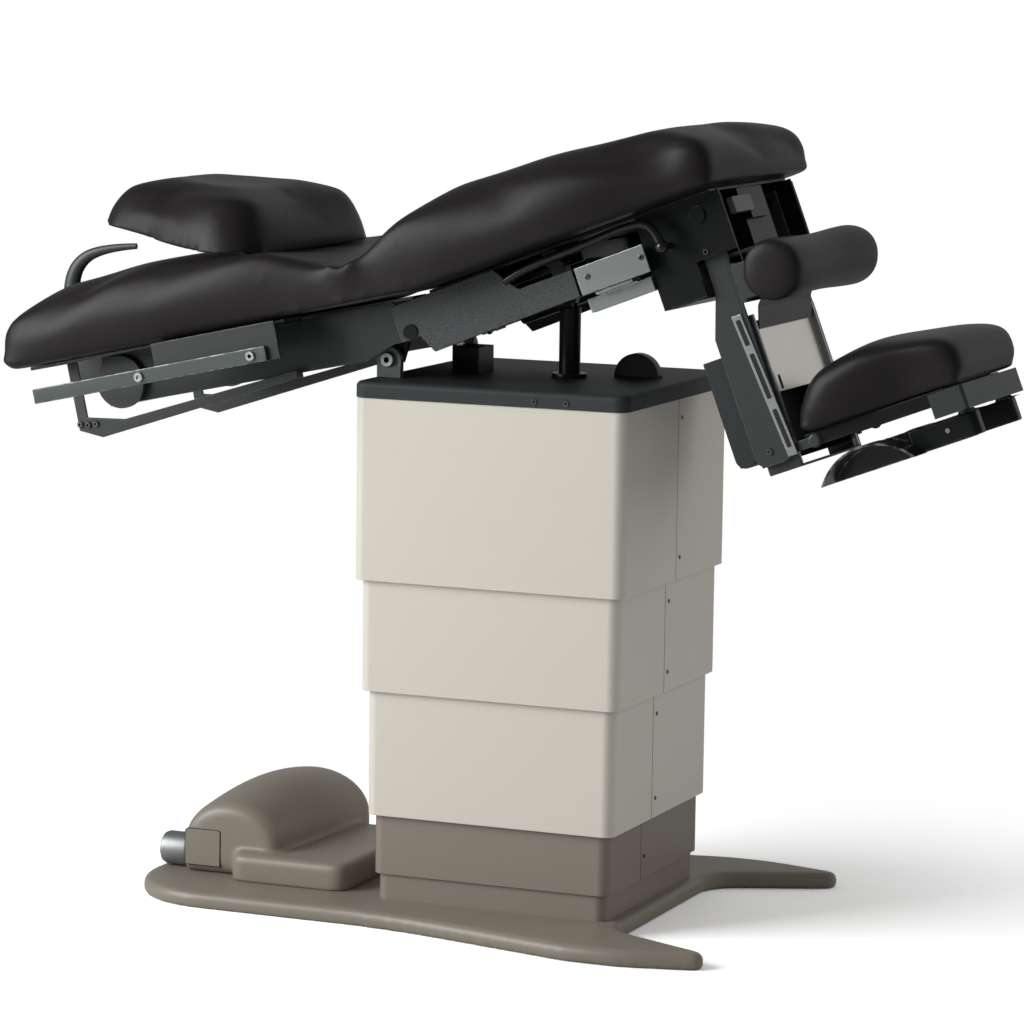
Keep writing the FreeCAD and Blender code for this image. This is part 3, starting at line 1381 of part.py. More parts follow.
def stirrups():
    chord = "(cup_front - cup_rear)"
    radius = f"({chord} * {chord} / 4 + cup_rise * cup_rise) / (2 * cup_rise)"
    middle = "(cup_front + cup_rear) / 2"
    centre = f"-cup_chord_n + cup_rise - {radius}"
    for side, span in (("near", lambda a, b: (f"-({b})", f"-({a})")), ("far", lambda a, b: (a, b))):
        back = "(stirrup_y + stirrup_arm_half)"
        low, high = span(back, f"{back} + cup_depth")
        arch = bar_y(SEAT, middle, centre, low, high, radius)
        room = block(SEAT, ("cup_rear", low, "-cup_chord_n"),
                     ("cup_front", high, "-cup_chord_n + cup_rise"))
        inner = bar_y(SEAT, middle, centre, *span(f"{back} + cup_wall", f"{back} + cup_depth"),
                      f"{radius} - cup_wall")
        cup = cut(common(arch, room), inner)
        low, high = span("stirrup_y - stirrup_arm_half", back)
        arm = block(SEAT, ("stirrup_arm_rear", low, "-stirrup_low"),
                    ("stirrup_u + stirrup_boss_round", high, "-stirrup_top - cup_wall"))
        boss_y = "-stirrup_y" if side == "near" else "stirrup_y"
        boss = bar_n(SEAT, "stirrup_u", boss_y, "-stirrup_low", "-stirrup_top", "stirrup_boss_round")
        bore = bar_n(SEAT, "stirrup_u", boss_y, "-stirrup_low", "-stirrup_top",
                     "stirrup_pin_round + pin_fit")
        node(f"stirrup_{side}", cut(fuse(cup, arm, boss), bore))


# Pump unit behind the column: a moulded cover, a vault over a low deck, with its panel, inlet and machinery

def vault(inset):
    """The vault's outer shape, or with an inset the space under it."""
    head = f"vault_head_x + {inset}"
    foot = f"vault_foot_x - {inset}"
    top = f"vault_top - {inset}"
    near = f"vault_near_y + {inset}"
    far = f"vault_far_y - {inset}"
    rounds = [
        (f"vault_head_round - {inset}", corner(head, top)),
        (f"vault_foot_round - {inset}", corner(foot, top)),
    ]
    points = [(head, "plate_thick"), (foot, "plate_thick"), (foot, top), (head, top)]
    body = sheet_piece(LEVEL, points, near, far, rounds)
    low = SIZES["plate_thick"] + NEAR
    reach = (value_of(far) - value_of(near)) / 2 - NEAR
    return round_rim(body, f"vault_rim_round - {inset}",
                     lambda edge: abs(edge.CenterOfMass.y) > reach and edge.CenterOfMass.z > low)


def deck(inset):
    """The deck's outer shape, or with an inset the space under it."""
    head = f"deck_head_x + {inset}"
    foot = f"{DECK_FOOT_X} - {inset}"
    near = f"deck_near_y + {inset}"
    far = f"deck_far_y - {inset}"
    points = [(head, near), (foot, near), (foot, far), (head, far)]
    return plan_piece(LEVEL, points, "plate_thick", f"deck_top - {inset}",
                      rounds=[(f"deck_corner - {inset}", lambda x, y: True)])


def pump_unit():
    shell = fuse(vault("0"), deck("0"))
    hollow = fuse(vault("pump_wall"), deck("pump_wall"))
    low = ("panel_head_x", "vault_near_y", "plate_thick + panel_lift")
    high = ("panel_foot_x", "vault_near_y + panel_thick", "plate_thick + panel_lift + panel_high")
    wall_end = "vault_head_x + pump_wall"
    inlet_hole = bar_u(LEVEL, "vault_head_x", wall_end, "inlet_y", "inlet_z", "inlet_round / 2")
    node("pump_cover", cut(shell, hollow, block(LEVEL, low, high), inlet_hole))
    node("pump_access_panel", block(LEVEL, low, high))
    body = bar_u(LEVEL, "vault_head_x - inlet_length", "vault_head_x", "inlet_y", "inlet_z", "inlet_round")
    neck = bar_u(LEVEL, "vault_head_x", wall_end, "inlet_y", "inlet_z", "inlet_round / 2")
    node("inlet_fitting", fuse(body, neck))

    motor_end = "(motor_y - motor_length)"
    motor = bar_y(LEVEL, "motor_x", "plate_thick + motor_round + cushion_gap", motor_end, "motor_y",
                  "motor_round")
    half = "pump_block_side / 2"
    pump = block(LEVEL, (f"motor_x - {half}", f"{motor_end} - pump_block_side", "plate_thick"),
                 (f"motor_x + {half}", motor_end, "plate_thick + pump_block_side"))
    tank = block(LEVEL, ("tank_head_x", "tank_near_y", "plate_thick"),
                 ("tank_head_x + tank_length", "tank_near_y + tank_width", "plate_thick + tank_high"))
    node("pump_machinery", motor, pump, tank)


SECTIONS = (
    base_plate, shrouds, lift_column, top_cover, seat_hinge, seat_rests, tilt_cylinder, seat_underframe,
    seat_sides, seat_pan, front_box, seat_pins, release_lever, seat_cushion, fold_pad, back_cushion,
    back_frame, back_cylinder, side_rails, roll_holder, head_handle, headrest, foot_frame, calf_roll,
    foot_slider, knee_rest, stirrups, pump_unit,
)
for build in SECTIONS:
    build()
doc.recompute()

# Every object has to be sound before anything is written
for obj in doc.Objects:
    if "Invalid" in obj.State or "Error" in obj.State:
        raise RuntimeError(f"{obj.Name} ({obj.Label}) failed: {obj.State}")
for piece in nodes:
    if piece.Shape.isNull() or not piece.Shape.isValid() or not piece.Shape.Solids:
        raise RuntimeError(f"{piece.Label} has no sound shape")

os.makedirs("parts", exist_ok=True)
for piece in nodes:
    piece.Shape.exportStep(os.path.join("parts", piece.Label + ".step"))
print(len(nodes), "nodes")
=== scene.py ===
import json
import math

import bmesh
import bpy
from mathutils import Matrix, Vector

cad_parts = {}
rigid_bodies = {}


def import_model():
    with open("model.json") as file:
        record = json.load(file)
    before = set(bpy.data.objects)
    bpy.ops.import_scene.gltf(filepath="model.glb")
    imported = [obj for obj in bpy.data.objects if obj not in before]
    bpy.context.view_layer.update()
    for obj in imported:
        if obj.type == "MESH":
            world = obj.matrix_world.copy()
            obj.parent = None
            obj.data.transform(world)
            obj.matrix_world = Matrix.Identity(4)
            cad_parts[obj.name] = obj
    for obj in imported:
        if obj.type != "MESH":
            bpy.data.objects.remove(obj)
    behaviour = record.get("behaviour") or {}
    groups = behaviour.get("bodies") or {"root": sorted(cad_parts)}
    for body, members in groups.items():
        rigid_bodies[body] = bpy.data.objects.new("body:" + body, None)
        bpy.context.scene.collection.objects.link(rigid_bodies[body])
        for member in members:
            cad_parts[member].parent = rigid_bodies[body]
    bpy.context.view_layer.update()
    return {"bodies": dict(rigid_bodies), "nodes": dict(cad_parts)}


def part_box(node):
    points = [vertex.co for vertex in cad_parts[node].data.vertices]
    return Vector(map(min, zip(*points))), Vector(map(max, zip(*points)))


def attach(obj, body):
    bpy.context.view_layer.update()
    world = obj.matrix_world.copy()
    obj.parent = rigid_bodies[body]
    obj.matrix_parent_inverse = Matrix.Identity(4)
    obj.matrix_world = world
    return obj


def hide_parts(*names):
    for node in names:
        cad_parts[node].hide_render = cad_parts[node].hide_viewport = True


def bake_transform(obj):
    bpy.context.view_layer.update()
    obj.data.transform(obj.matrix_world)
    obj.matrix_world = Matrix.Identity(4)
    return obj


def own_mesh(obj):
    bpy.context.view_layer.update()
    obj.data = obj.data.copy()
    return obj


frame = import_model()


# Base: an iron casting with a round head end and two splayed feet, with a low plinth that the column
# stands on. It is sprayed taupe, and its rim is rolled over as the mould leaves it.
BASE_THICK = 0.028
BASE_ROLL = 0.0125
PLINTH_HALF = 0.2071
PLINTH_TOP = 0.072
PLINTH_WALL = 0.012
PLINTH_SUNK = 0.002
COLUMN_CORNER = 0.020
BASE_VOXEL, BASE_PASSES = 0.0045, 9
SQUARE = ((-1, -1), (1, -1), (1, 1), (-1, 1))
BASE_HALF_RIM = ((-0.660, 0.303, 0.160), (-0.150, 0.303, 0.900), (0.255, 0.392, 0.300),
                 (0.430, 0.345, 0.016), (0.424, 0.318, 0.016), (0.232, 0.232, 0.070))
TAUPE = (0.232, 0.205, 0.165, 1)
# The lighter colour on the rolled edges is rubbed wear and a painted edge highlight.
TAUPE_RUBBED_AND_LIT = (0.33, 0.30, 0.26, 1)


def add_outline(bm, corners, segments=10):
    """A flat face on z 0; each corner is (x, y, round)."""
    verts = [bm.verts.new((x, y, 0)) for x, y, size in corners]
    bm.faces.new(verts)
    reach = [(v, size * math.tan(v.calc_edge_angle() / 2))
             for v, (x, y, size) in zip(verts, corners) if size]
    kept = set(bm.verts) - set(verts)
    for v, length in reach:
        bmesh.ops.bevel(bm, geom=[v], offset=length, offset_type="OFFSET", affect="VERTICES",
                        segments=segments, profile=0.5, material=-1)
    return [f for f in bm.faces if not any(v in kept for v in f.verts)]


def thicken(bm, faces, low, high):
    """Makes the flat faces a solid from low to high, and gives back its upper vertices."""
    base = {v for f in faces for v in f.verts}
    bmesh.ops.translate(bm, verts=list(base), vec=(0, 0, low))
    grown = bmesh.ops.extrude_face_region(bm, geom=faces, use_keep_orig=True)["geom"]
    top = [v for v in grown if isinstance(v, bmesh.types.BMVert)]
    bmesh.ops.translate(bm, verts=top, vec=(0, 0, high - low))
    bmesh.ops.recalc_face_normals(bm, faces=bm.faces)
    return top


def roll(bm, edges, size, segments=4):
    """Rounds edges over and marks the new faces for the lighter edge colour, which is rubbed wear and a
    painted edge highlight.
    """
    made = bmesh.ops.bevel(bm, geom=list(edges), offset=size, offset_type="OFFSET", affect="EDGES",
                           segments=segments, profile=0.5, material=-1)["faces"]
    layer = bm.loops.layers.float_color.get("edge")
    if layer is None:
        layer = bm.loops.layers.float_color.new("edge")
        for face in bm.faces:
            for loop in face.loops:
                loop[layer] = (0, 0, 0, 1)
    for face in made:
        for loop in face.loops:
            loop[layer] = (1, 1, 1, 1)


def rim_of(bm, verts):
    """The edges that bound the faces on these vertices."""
    ring = set(verts)
    flat = {f for v in ring for f in v.link_faces if all(w in ring for w in f.verts)}
    return [e for f in flat for e in f.edges if not all(g in flat for g in e.link_faces)]


def ease(bm, verts, passes):
    """Runs a skin smooth."""
    for _ in range(passes):
        bmesh.ops.smooth_vert(bm, verts=verts, factor=0.5, use_axis_x=True, use_axis_y=True,
                              use_axis_z=True)


def as_object(name, bm):
    """Puts a finished mesh in the scene."""
    mesh = bpy.data.meshes.new(name)
    bm.to_mesh(mesh)
    bm.free()
    made = bpy.data.objects.new(name, mesh)
    bpy.context.collection.objects.link(made)
    return made


def one_skin(bm, voxel, passes):
    """One closed skin over overlapping shapes, its inside corners run smooth as forming leaves them."""
    rough = as_object("rough", bm)
    remesh = rough.modifiers.new("skin", "REMESH")
    remesh.mode = "VOXEL"
    remesh.voxel_size = voxel
    depsgraph = bpy.context.evaluated_depsgraph_get()
    skin = bpy.data.meshes.new_from_object(rough.evaluated_get(depsgraph))
    bpy.data.objects.remove(rough)
    bm = bmesh.new()
    bm.from_mesh(skin)
    ease(bm, bm.verts, passes)
    return bm


def piece(name, bm, finish, body, slot, *nodes, smooth_below=38):
    """Makes the mesh an object with its finish, which moves with a body and stands for CAD nodes."""
    for face in bm.faces:
        face.smooth = True
    for edge in bm.edges:
        edge.smooth = edge.calc_face_angle(0) < math.radians(smooth_below)
    made = as_object(name, bm)
    made.data.materials.append(finish)
    made.modifiers.new("even_normals", "WEIGHTED_NORMAL").keep_sharp = True
    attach(made, body)
    if nodes:
        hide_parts(*nodes)
    return made


def lived_in_and_lit_edges_group():
    """Shade and gloss that drift over a surface, a fine skin, and a lighter colour along the rolled edges,
    which is rubbed wear and a painted edge highlight.
    """
    tree = bpy.data.node_groups.new("lived_in_and_lit_edges", "ShaderNodeTree")
    for name, kind in (("Colour", "Color"), ("Rubbed And Lit Colour", "Color"), ("Roughness", "Float"),
                       ("Patch Scale", "Float"), ("Patch Depth", "Float"), ("Grain Scale", "Float"),
                       ("Rub And Edge Highlight", "Float")):
        tree.interface.new_socket(name=name, in_out="INPUT", socket_type=f"NodeSocket{kind}")
    for name, kind in (("Colour", "Color"), ("Roughness", "Float"), ("Height", "Float")):
        tree.interface.new_socket(name=name, in_out="OUTPUT", socket_type=f"NodeSocket{kind}")
    given, out = tree.nodes.new("NodeGroupInput"), tree.nodes.new("NodeGroupOutput")
    where = tree.nodes.new("ShaderNodeTexCoord").outputs["Object"]

    def noise(scale, detail):
        node = tree.nodes.new("ShaderNodeTexNoise")
        node.inputs["Detail"].default_value = detail
        tree.links.new(where, node.inputs["Vector"])
        if isinstance(scale, (int, float)):
            node.inputs["Scale"].default_value = scale
        else:
            tree.links.new(scale, node.inputs["Scale"])
        return node.outputs["Factor"] if "Factor" in node.outputs else node.outputs["Fac"]

    def sum_of(operation, *values):
        node = tree.nodes.new("ShaderNodeMath")
        node.operation = operation
        for socket, value in zip(node.inputs, values):
            if isinstance(value, (int, float)):
                socket.default_value = value
            else:
                tree.links.new(value, socket)
        return node.outputs["Value"]

    patch = sum_of("SUBTRACT", noise(given.outputs["Patch Scale"], 2), 0.5)
    grain = noise(given.outputs["Grain Scale"], 3)
    shade = sum_of("MULTIPLY_ADD", patch, given.outputs["Patch Depth"], 1)
    tint = tree.nodes.new("ShaderNodeVectorMath")
    tint.operation = "SCALE"
    tree.links.new(given.outputs["Colour"], tint.inputs["Vector"])
    tree.links.new(shade, tint.inputs["Scale"])
    # Rolled edges, broken up by noise, take a lighter colour: rubbed wear and a painted edge highlight.
    edge = tree.nodes.new("ShaderNodeAttribute")
    edge.attribute_name = "edge"
    scuff_and_highlight_mask = tree.nodes.new("ShaderNodeMapRange")
    scuff_and_highlight_mask.inputs["From Min"].default_value, scuff_and_highlight_mask.inputs["From Max"].default_value = 0.42, 0.68
    tree.links.new(noise(70, 5), scuff_and_highlight_mask.inputs["Value"])
    rubbed_and_lit = sum_of("MULTIPLY", sum_of("MULTIPLY", scuff_and_highlight_mask.outputs["Result"], edge.outputs["Fac"]),
                    given.outputs["Rub And Edge Highlight"])
    mix = tree.nodes.new("ShaderNodeMix")
    mix.data_type = "RGBA"
    tree.links.new(rubbed_and_lit, mix.inputs["Factor"])
    tree.links.new(tint.outputs["Vector"], mix.inputs["A"])
    tree.links.new(given.outputs["Rubbed And Lit Colour"], mix.inputs["B"])
    tree.links.new(mix.outputs["Result"], out.inputs["Colour"])
    drift = sum_of("MULTIPLY_ADD", patch, 0.10, given.outputs["Roughness"])
    speck = sum_of("MULTIPLY_ADD", sum_of("SUBTRACT", grain, 0.5), 0.06, drift)
    tree.links.new(sum_of("MULTIPLY_ADD", rubbed_and_lit, -0.12, speck), out.inputs["Roughness"])
    tree.links.new(grain, out.inputs["Height"])
    return tree


lived_in_and_lit_edges = lived_in_and_lit_edges_group()


def coated(name, colour, rubbed_and_lit, rough, patch=(5, 0.10), grain=700, rub_and_highlight=0.6, depth=0.00012, metal=0,
           shine=0.5):
    """A painted, moulded or plated finish on the lived-in surface, whose rolled edges go lighter as rubbed
    wear and a painted edge highlight.
    """
    made = bpy.data.materials.new(name)
    made.use_nodes = True
    nodes, links = made.node_tree.nodes, made.node_tree.links
    shader = nodes["Principled BSDF"]
    shader.inputs["Metallic"].default_value = metal
    shader.inputs["Specular IOR Level"].default_value = shine
    surface = nodes.new("ShaderNodeGroup")
    surface.name = "surface"
    surface.node_tree = lived_in_and_lit_edges
    for socket, value in (("Colour", colour), ("Rubbed And Lit Colour", rubbed_and_lit), ("Roughness", rough),
                          ("Patch Scale", patch[0]), ("Patch Depth", patch[1]), ("Grain Scale", grain),
                          ("Rub And Edge Highlight", rub_and_highlight)):
        surface.inputs[socket].default_value = value
    bump = nodes.new("ShaderNodeBump")
    bump.name = "bump"
    bump.inputs["Distance"].default_value = depth
    links.new(surface.outputs["Height"], bump.inputs["Height"])
    links.new(surface.outputs["Colour"], shader.inputs["Base Color"])
    links.new(surface.outputs["Roughness"], shader.inputs["Roughness"])
    links.new(bump.outputs["Normal"], shader.inputs["Normal"])
    return made


taupe = coated("taupe_moulding", TAUPE, TAUPE_RUBBED_AND_LIT, 0.40, patch=(3, 0.06), grain=600, rub_and_highlight=0.4)
bm = bmesh.new()
near_rim = [(x, -y, size) for x, y, size in BASE_HALF_RIM]
whole_rim = near_rim + list(reversed(BASE_HALF_RIM))
top = thicken(bm, add_outline(bm, whole_rim, segments=16), 0, BASE_THICK)
roll(bm, rim_of(bm, top), BASE_ROLL, segments=6)
bm = one_skin(bm, BASE_VOXEL, BASE_PASSES)
square = [(sx * PLINTH_HALF, sy * PLINTH_HALF, COLUMN_CORNER) for sx, sy in SQUARE]
plinth = add_outline(bm, square)
inside = bmesh.ops.inset_region(bm, faces=plinth, thickness=PLINTH_WALL, use_boundary=True,
                                use_even_offset=True)["faces"]
bmesh.ops.delete(bm, geom=plinth, context="FACES_ONLY")
thicken(bm, inside, BASE_THICK - PLINTH_SUNK, PLINTH_TOP)
piece("base_casting", bm, taupe, "base", "taupe_moulding", "base_plate")


# Pump cover: a vacuum-formed lid on the head end of the base, a vault over the motor running down onto a
# low deck, with a pressed-in access panel and the steel hose inlet at its head end.
VAULT = ((-0.597, 0.027, 0), (-0.414, 0.027, 0), (-0.414, 0.174, 0.092), (-0.597, 0.174, 0.088))
VAULT_TOP = 0.174
VAULT_NEAR, VAULT_FAR = -0.1635, 0.222
VAULT_MIDDLE, VAULT_HALF = (VAULT_NEAR + VAULT_FAR) / 2, (VAULT_FAR - VAULT_NEAR) / 2
VAULT_CROWN = 0.024
VAULT_CUTS = 14
VAULT_SPREAD = 0.2
VAULT_ROLLS = (0.022, 0.045)
PANEL = ((-0.589, 0.042, 0), (-0.523, 0.042, 0), (-0.523, 0.104, 0.004), (-0.589, 0.104, 0.008))
PANEL_MIDDLE = Vector((-0.556, 0, 0.073))
PANEL_FACE = 0.0015
PANEL_EDGE = 0.0008
PANEL_GROOVE, PANEL_GROOVE_FACE = 1.045, 0.0004
DECK = ((-0.492, -0.196), (-0.272, -0.196), (-0.272, 0.149), (-0.492, 0.149))
DECK_CORNER = 0.024
DECK_TOP = 0.075
DECK_ROLL = 0.013
LID_VOXEL, LID_PASSES = 0.0035, 9
INLET_ROUND = 0.009
UPRIGHT = Matrix.Rotation(math.radians(90), 4, "X")


def lay(bm, matrix):
    """Turns a shape drawn flat into its place, its normals outward."""
    bmesh.ops.transform(bm, matrix=matrix, verts=bm.verts)
    bmesh.ops.recalc_face_normals(bm, faces=bm.faces)


bm = bmesh.new()
near = thicken(bm, add_outline(bm, VAULT, segments=14), -VAULT_FAR, -VAULT_NEAR)
far = [v for v in bm.verts if v not in set(near)]
for end, size in zip((near, far), VAULT_ROLLS):
    roll(bm, rim_of(bm, end), size)
long_edges = [e for e in bm.edges if e.calc_length() > VAULT_HALF]
bmesh.ops.subdivide_edges(bm, edges=long_edges, cuts=VAULT_CUTS, use_grid_fill=True)
lay(bm, UPRIGHT)
for v in bm.verts:
    lifted = max(0, v.co.z - DECK_TOP) / (VAULT_TOP - DECK_TOP)
    v.co.x += VAULT_SPREAD * (v.co.x - VAULT[0][0]) * (v.co.y - VAULT_NEAR)
    v.co.z -= VAULT_CROWN * lifted * ((v.co.y - VAULT_MIDDLE) / VAULT_HALF) ** 2
top = thicken(bm, add_outline(bm, [(x, y, DECK_CORNER) for x, y in DECK]), VAULT[0][1], DECK_TOP)
roll(bm, rim_of(bm, top), DECK_ROLL)
piece("pump_cover_lid", one_skin(bm, LID_VOXEL, LID_PASSES), taupe, "base", "taupe_moulding",
      "pump_cover", smooth_below=80)

# Its rolled edges go a lighter grey: rubbed wear and a painted edge highlight.
black_paint = coated("black_paint", (0.0055, 0.0078, 0.0075, 1), (0.07, 0.08, 0.078, 1), 0.30,
                     patch=(3, 0.15), grain=350, rub_and_highlight=0.5, shine=0.28)
# A near-black finish laid in grooves, seams and slots as painted shade.
painted_groove_shade = coated("painted_groove_shade", (0.012, 0.011, 0.010, 1), (0.03, 0.03, 0.03, 1), 0.7, rub_and_highlight=0)
fittings = coated("steel_fittings", (0.46, 0.48, 0.47, 1), (0.7, 0.71, 0.7, 1), 0.30, patch=(20, 0.1),
                  metal=0.9)
satin_steel = coated("satin_steel", (0.30, 0.31, 0.31, 1), (0.4, 0.4, 0.4, 1), 0.46, patch=(20, 0.1),
                     metal=0.8)
body_of_empty = {empty.name: name for name, empty in frame["bodies"].items()}


def dress(node, finish, slot, edge=0.0012, sharper_than=40, first=None):
    """A CAD node in its finish, its sharp edges broken as filing or a mould breaks them."""
    part = frame["nodes"][node]
    bm = bmesh.new()
    bm.from_mesh(part.data)
    bmesh.ops.remove_doubles(bm, verts=bm.verts, dist=1e-5)
    bmesh.ops.dissolve_limit(bm, angle_limit=math.radians(0.5), verts=bm.verts, edges=bm.edges)
    if first:
        first(bm)
    sharp = [e for e in bm.edges if e.calc_face_angle(0) > math.radians(sharper_than)]
    roll(bm, sharp, edge, segments=2)
    return piece(f"{node}_finished", bm, finish, body_of_empty[part.parent.name], slot, node)


bm = bmesh.new()
top = thicken(bm, add_outline(bm, PANEL), -VAULT_NEAR - PANEL_FACE, -VAULT_NEAR + PANEL_FACE)
roll(bm, rim_of(bm, top), PANEL_EDGE, 2)
lay(bm, UPRIGHT)
piece("pump_access_cover", bm, taupe, "base", "taupe_moulding", "pump_access_panel")
# A dark plate a little larger than the access cover, just behind its face: painted shade in the groove
# round the cover.
bm = bmesh.new()
thicken(bm, add_outline(bm, PANEL), -VAULT_NEAR - PANEL_FACE, -VAULT_NEAR + PANEL_GROOVE_FACE)
lay(bm, UPRIGHT)
bmesh.ops.scale(bm, vec=(PANEL_GROOVE, 1, PANEL_GROOVE), space=Matrix.Translation(-PANEL_MIDDLE),
                verts=bm.verts)
piece("pump_panel_groove_shade", bm, painted_groove_shade, "base", "black_moulding")
dress("inlet_fitting", satin_steel, "steel_fittings", INLET_ROUND)
dress("pump_machinery", black_paint, "black_paint")


# Column shrouds: four square sleeves that slide inside each other over the lift, each two bent half
# shells of painted sheet held by small screws beside the seam. Beige above, taupe on the lowest one.
BEIGE = (0.655, 0.625, 0.545, 1)
# The lighter colour on the rolled edges is rubbed wear and a painted edge highlight.
BEIGE_RUBBED_AND_LIT = (0.72, 0.70, 0.64, 1)
SHROUDS = (("upper", "carriage", 0.2413, 0.003, (0.845, 0.610)),
           ("middle", "middle_stage", 0.2319, -0.019, (0.538, 0.418)),
           ("lower", "lower_stage", 0.2225, -0.041, (0.350, 0.206)),
           ("base", "base", 0.2131, -0.063, (0.110,)))
SHROUD_SCREW_OFF_SEAM = 0.015
SHROUD_SCREW = (0.0036, 0.0012, 0.0015)
SHROUD_EDGE = 0.001
SEAM_WIDE, SEAM_SUNK = 0.0014, 0.0008
beige = coated("beige_moulding", BEIGE, BEIGE_RUBBED_AND_LIT, 0.42, patch=(2, 0.02), grain=900, rub_and_highlight=0.3,
               depth=0.00005)
screw_steel = coated("screw_steel", (0.12, 0.12, 0.115, 1), (0.5, 0.5, 0.48, 1), 0.30, patch=(60, 0.2),
                     metal=0.8)


def add_socket_head(bm, place, radius, height, key):
    """A round screw head with a hexagon socket; place stands it on its seat, looking along its own z."""

    def ring(count, size, z, capped=False):
        verts = bmesh.ops.create_circle(bm, segments=count, radius=size, cap_ends=capped,
                                        matrix=place @ Matrix.Translation((0, 0, z)))["verts"]
        return [e for e in {e for v in verts for e in v.link_edges} if all(v in verts for v in e.verts)]

    rings = [ring(24, radius, 0), ring(24, radius, height * 0.7), ring(24, radius * 0.88, height),
             ring(6, key, height), ring(6, key, height * 0.3, True)]
    for first, second in zip(rings, rings[1:]):
        bmesh.ops.bridge_loops(bm, edges=first + second)
    bmesh.ops.recalc_face_normals(bm, faces=bm.faces)


def facing(x, y, z, axis, way=1):
    """Stands a fixing at a point, looking out along an axis."""
    out = Vector((way * (axis == "X"), way * (axis == "Y"), 0))
    return Matrix.Translation((x, y, z)) @ out.to_track_quat("Z", "Y").to_matrix().to_4x4()


for stage, body, half, seam, heights in SHROUDS:
    tone, slot = (taupe, "taupe_moulding") if stage == "base" else (beige, "beige_moulding")
    for side in ("near", "far"):
        dress(f"{stage}_shroud_{side}", tone, slot, SHROUD_EDGE)
    bm = bmesh.new()
    for way in (1, -1):
        for height in heights:
            place = facing(way * half, seam + SHROUD_SCREW_OFF_SEAM, height, "X", way)
            add_socket_head(bm, place, *SHROUD_SCREW)
    piece(f"{stage}_shroud_screws", bm, screw_steel, body, "steel_fittings")
    low, high = (corner.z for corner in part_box(f"{stage}_shroud_near"))
    # A dark strip sunk along each seam on both end faces: painted shade in the gap between the half
    # shells.
    bm = bmesh.new()
    for way in (1, -1):
        strip = [(way * (half - SEAM_SUNK) + sx * SEAM_WIDE / 2, seam + sy * SEAM_WIDE / 2, 0)
                 for sx, sy in SQUARE]
        thicken(bm, add_outline(bm, strip), low + SEAM_WIDE / 2, high - SEAM_WIDE / 2)
    piece(f"{stage}_shroud_seam_shade", bm, painted_groove_shade, body, "black_moulding")


# Lift: three square guide tubes and a three-stage hydraulic ram, turned and honed steel, hidden inside
# the shrouds and seen only from below when they part.
machined = coated("machined_steel", (0.30, 0.31, 0.31, 1), (0.5, 0.5, 0.5, 1), 0.30, patch=(12, 0.2),
                  metal=1)


def paint(nodes, finish):
    """A CAD node whose shape is right takes its finish as it is."""
    for node in nodes:
        part = frame["nodes"][node]
        part.data.materials.clear()
        part.data.materials.append(finish)


paint(("column_outer_tube", "column_middle_tube", "column_top_tube", "lift_barrel", "lift_ram_middle",
       "lift_ram_top", "top_plate"), machined)


# Top cover: a black moulded lid with a rolled rim over the column's steel top plate. The seat hinges on
# two bent lugs at its head end, held by socket-head pins, and comes down on the two rests.
RIM_SCREWS = ((0.0824, 0.887), (0.1385, 0.887))
RIM_SCREW = (0.005, 0.002, 0.0022)
COVER_HALF = 0.243
FILED_EDGE = 0.0015
HINGE_PIN = (-0.214, 0.934)
HINGE_PIN_FACE = 0.163
HINGE_HEAD = (0.0125, 0.009, 0.0055)
HINGE_SHANK = (0.008, 0.016)
HINGE_SHANK_IN = 0.007
black_moulding = coated("black_moulding", (0.036, 0.042, 0.042, 1), (0.09, 0.10, 0.10, 1), 0.50,
                        patch=(3, 0.12), grain=420, depth=0.0003, rub_and_highlight=0.4, shine=0.18)
lug_steel = coated("lug_steel", (0.13, 0.145, 0.145, 1), (0.4, 0.41, 0.41, 1), 0.40, patch=(12, 0.15),
                   metal=0.5)
paint(("top_cover",), black_moulding)
dress("hinge_lugs", lug_steel, "steel_fittings")
dress("seat_rests", black_paint, "black_paint", FILED_EDGE)
dress("tilt_cylinder", black_paint, "black_paint")
dress("tilt_rod", black_paint, "black_paint")
bm = bmesh.new()
for x, z in RIM_SCREWS:
    add_socket_head(bm, facing(x, -COVER_HALF, z, "Y", -1), *RIM_SCREW)
    add_socket_head(bm, facing(x, COVER_HALF, z, "Y"), *RIM_SCREW)
piece("cover_rim_screws", bm, screw_steel, "carriage", "steel_fittings")
bm = bmesh.new()
for way in (-1, 1):
    add_socket_head(bm, facing(HINGE_PIN[0], way * HINGE_PIN_FACE, HINGE_PIN[1], "Y", way), *HINGE_HEAD)
    shank = facing(HINGE_PIN[0], way * (HINGE_PIN_FACE - HINGE_SHANK_IN), HINGE_PIN[1], "Y", way)
    bmesh.ops.create_cone(bm, cap_ends=True, segments=24, radius1=HINGE_SHANK[0], radius2=HINGE_SHANK[0],
                          depth=HINGE_SHANK[1], matrix=shank)
piece("hinge_pin_heads", bm, fittings, "carriage", "steel_fittings")
dress("hinge_pins", fittings, "steel_fittings")


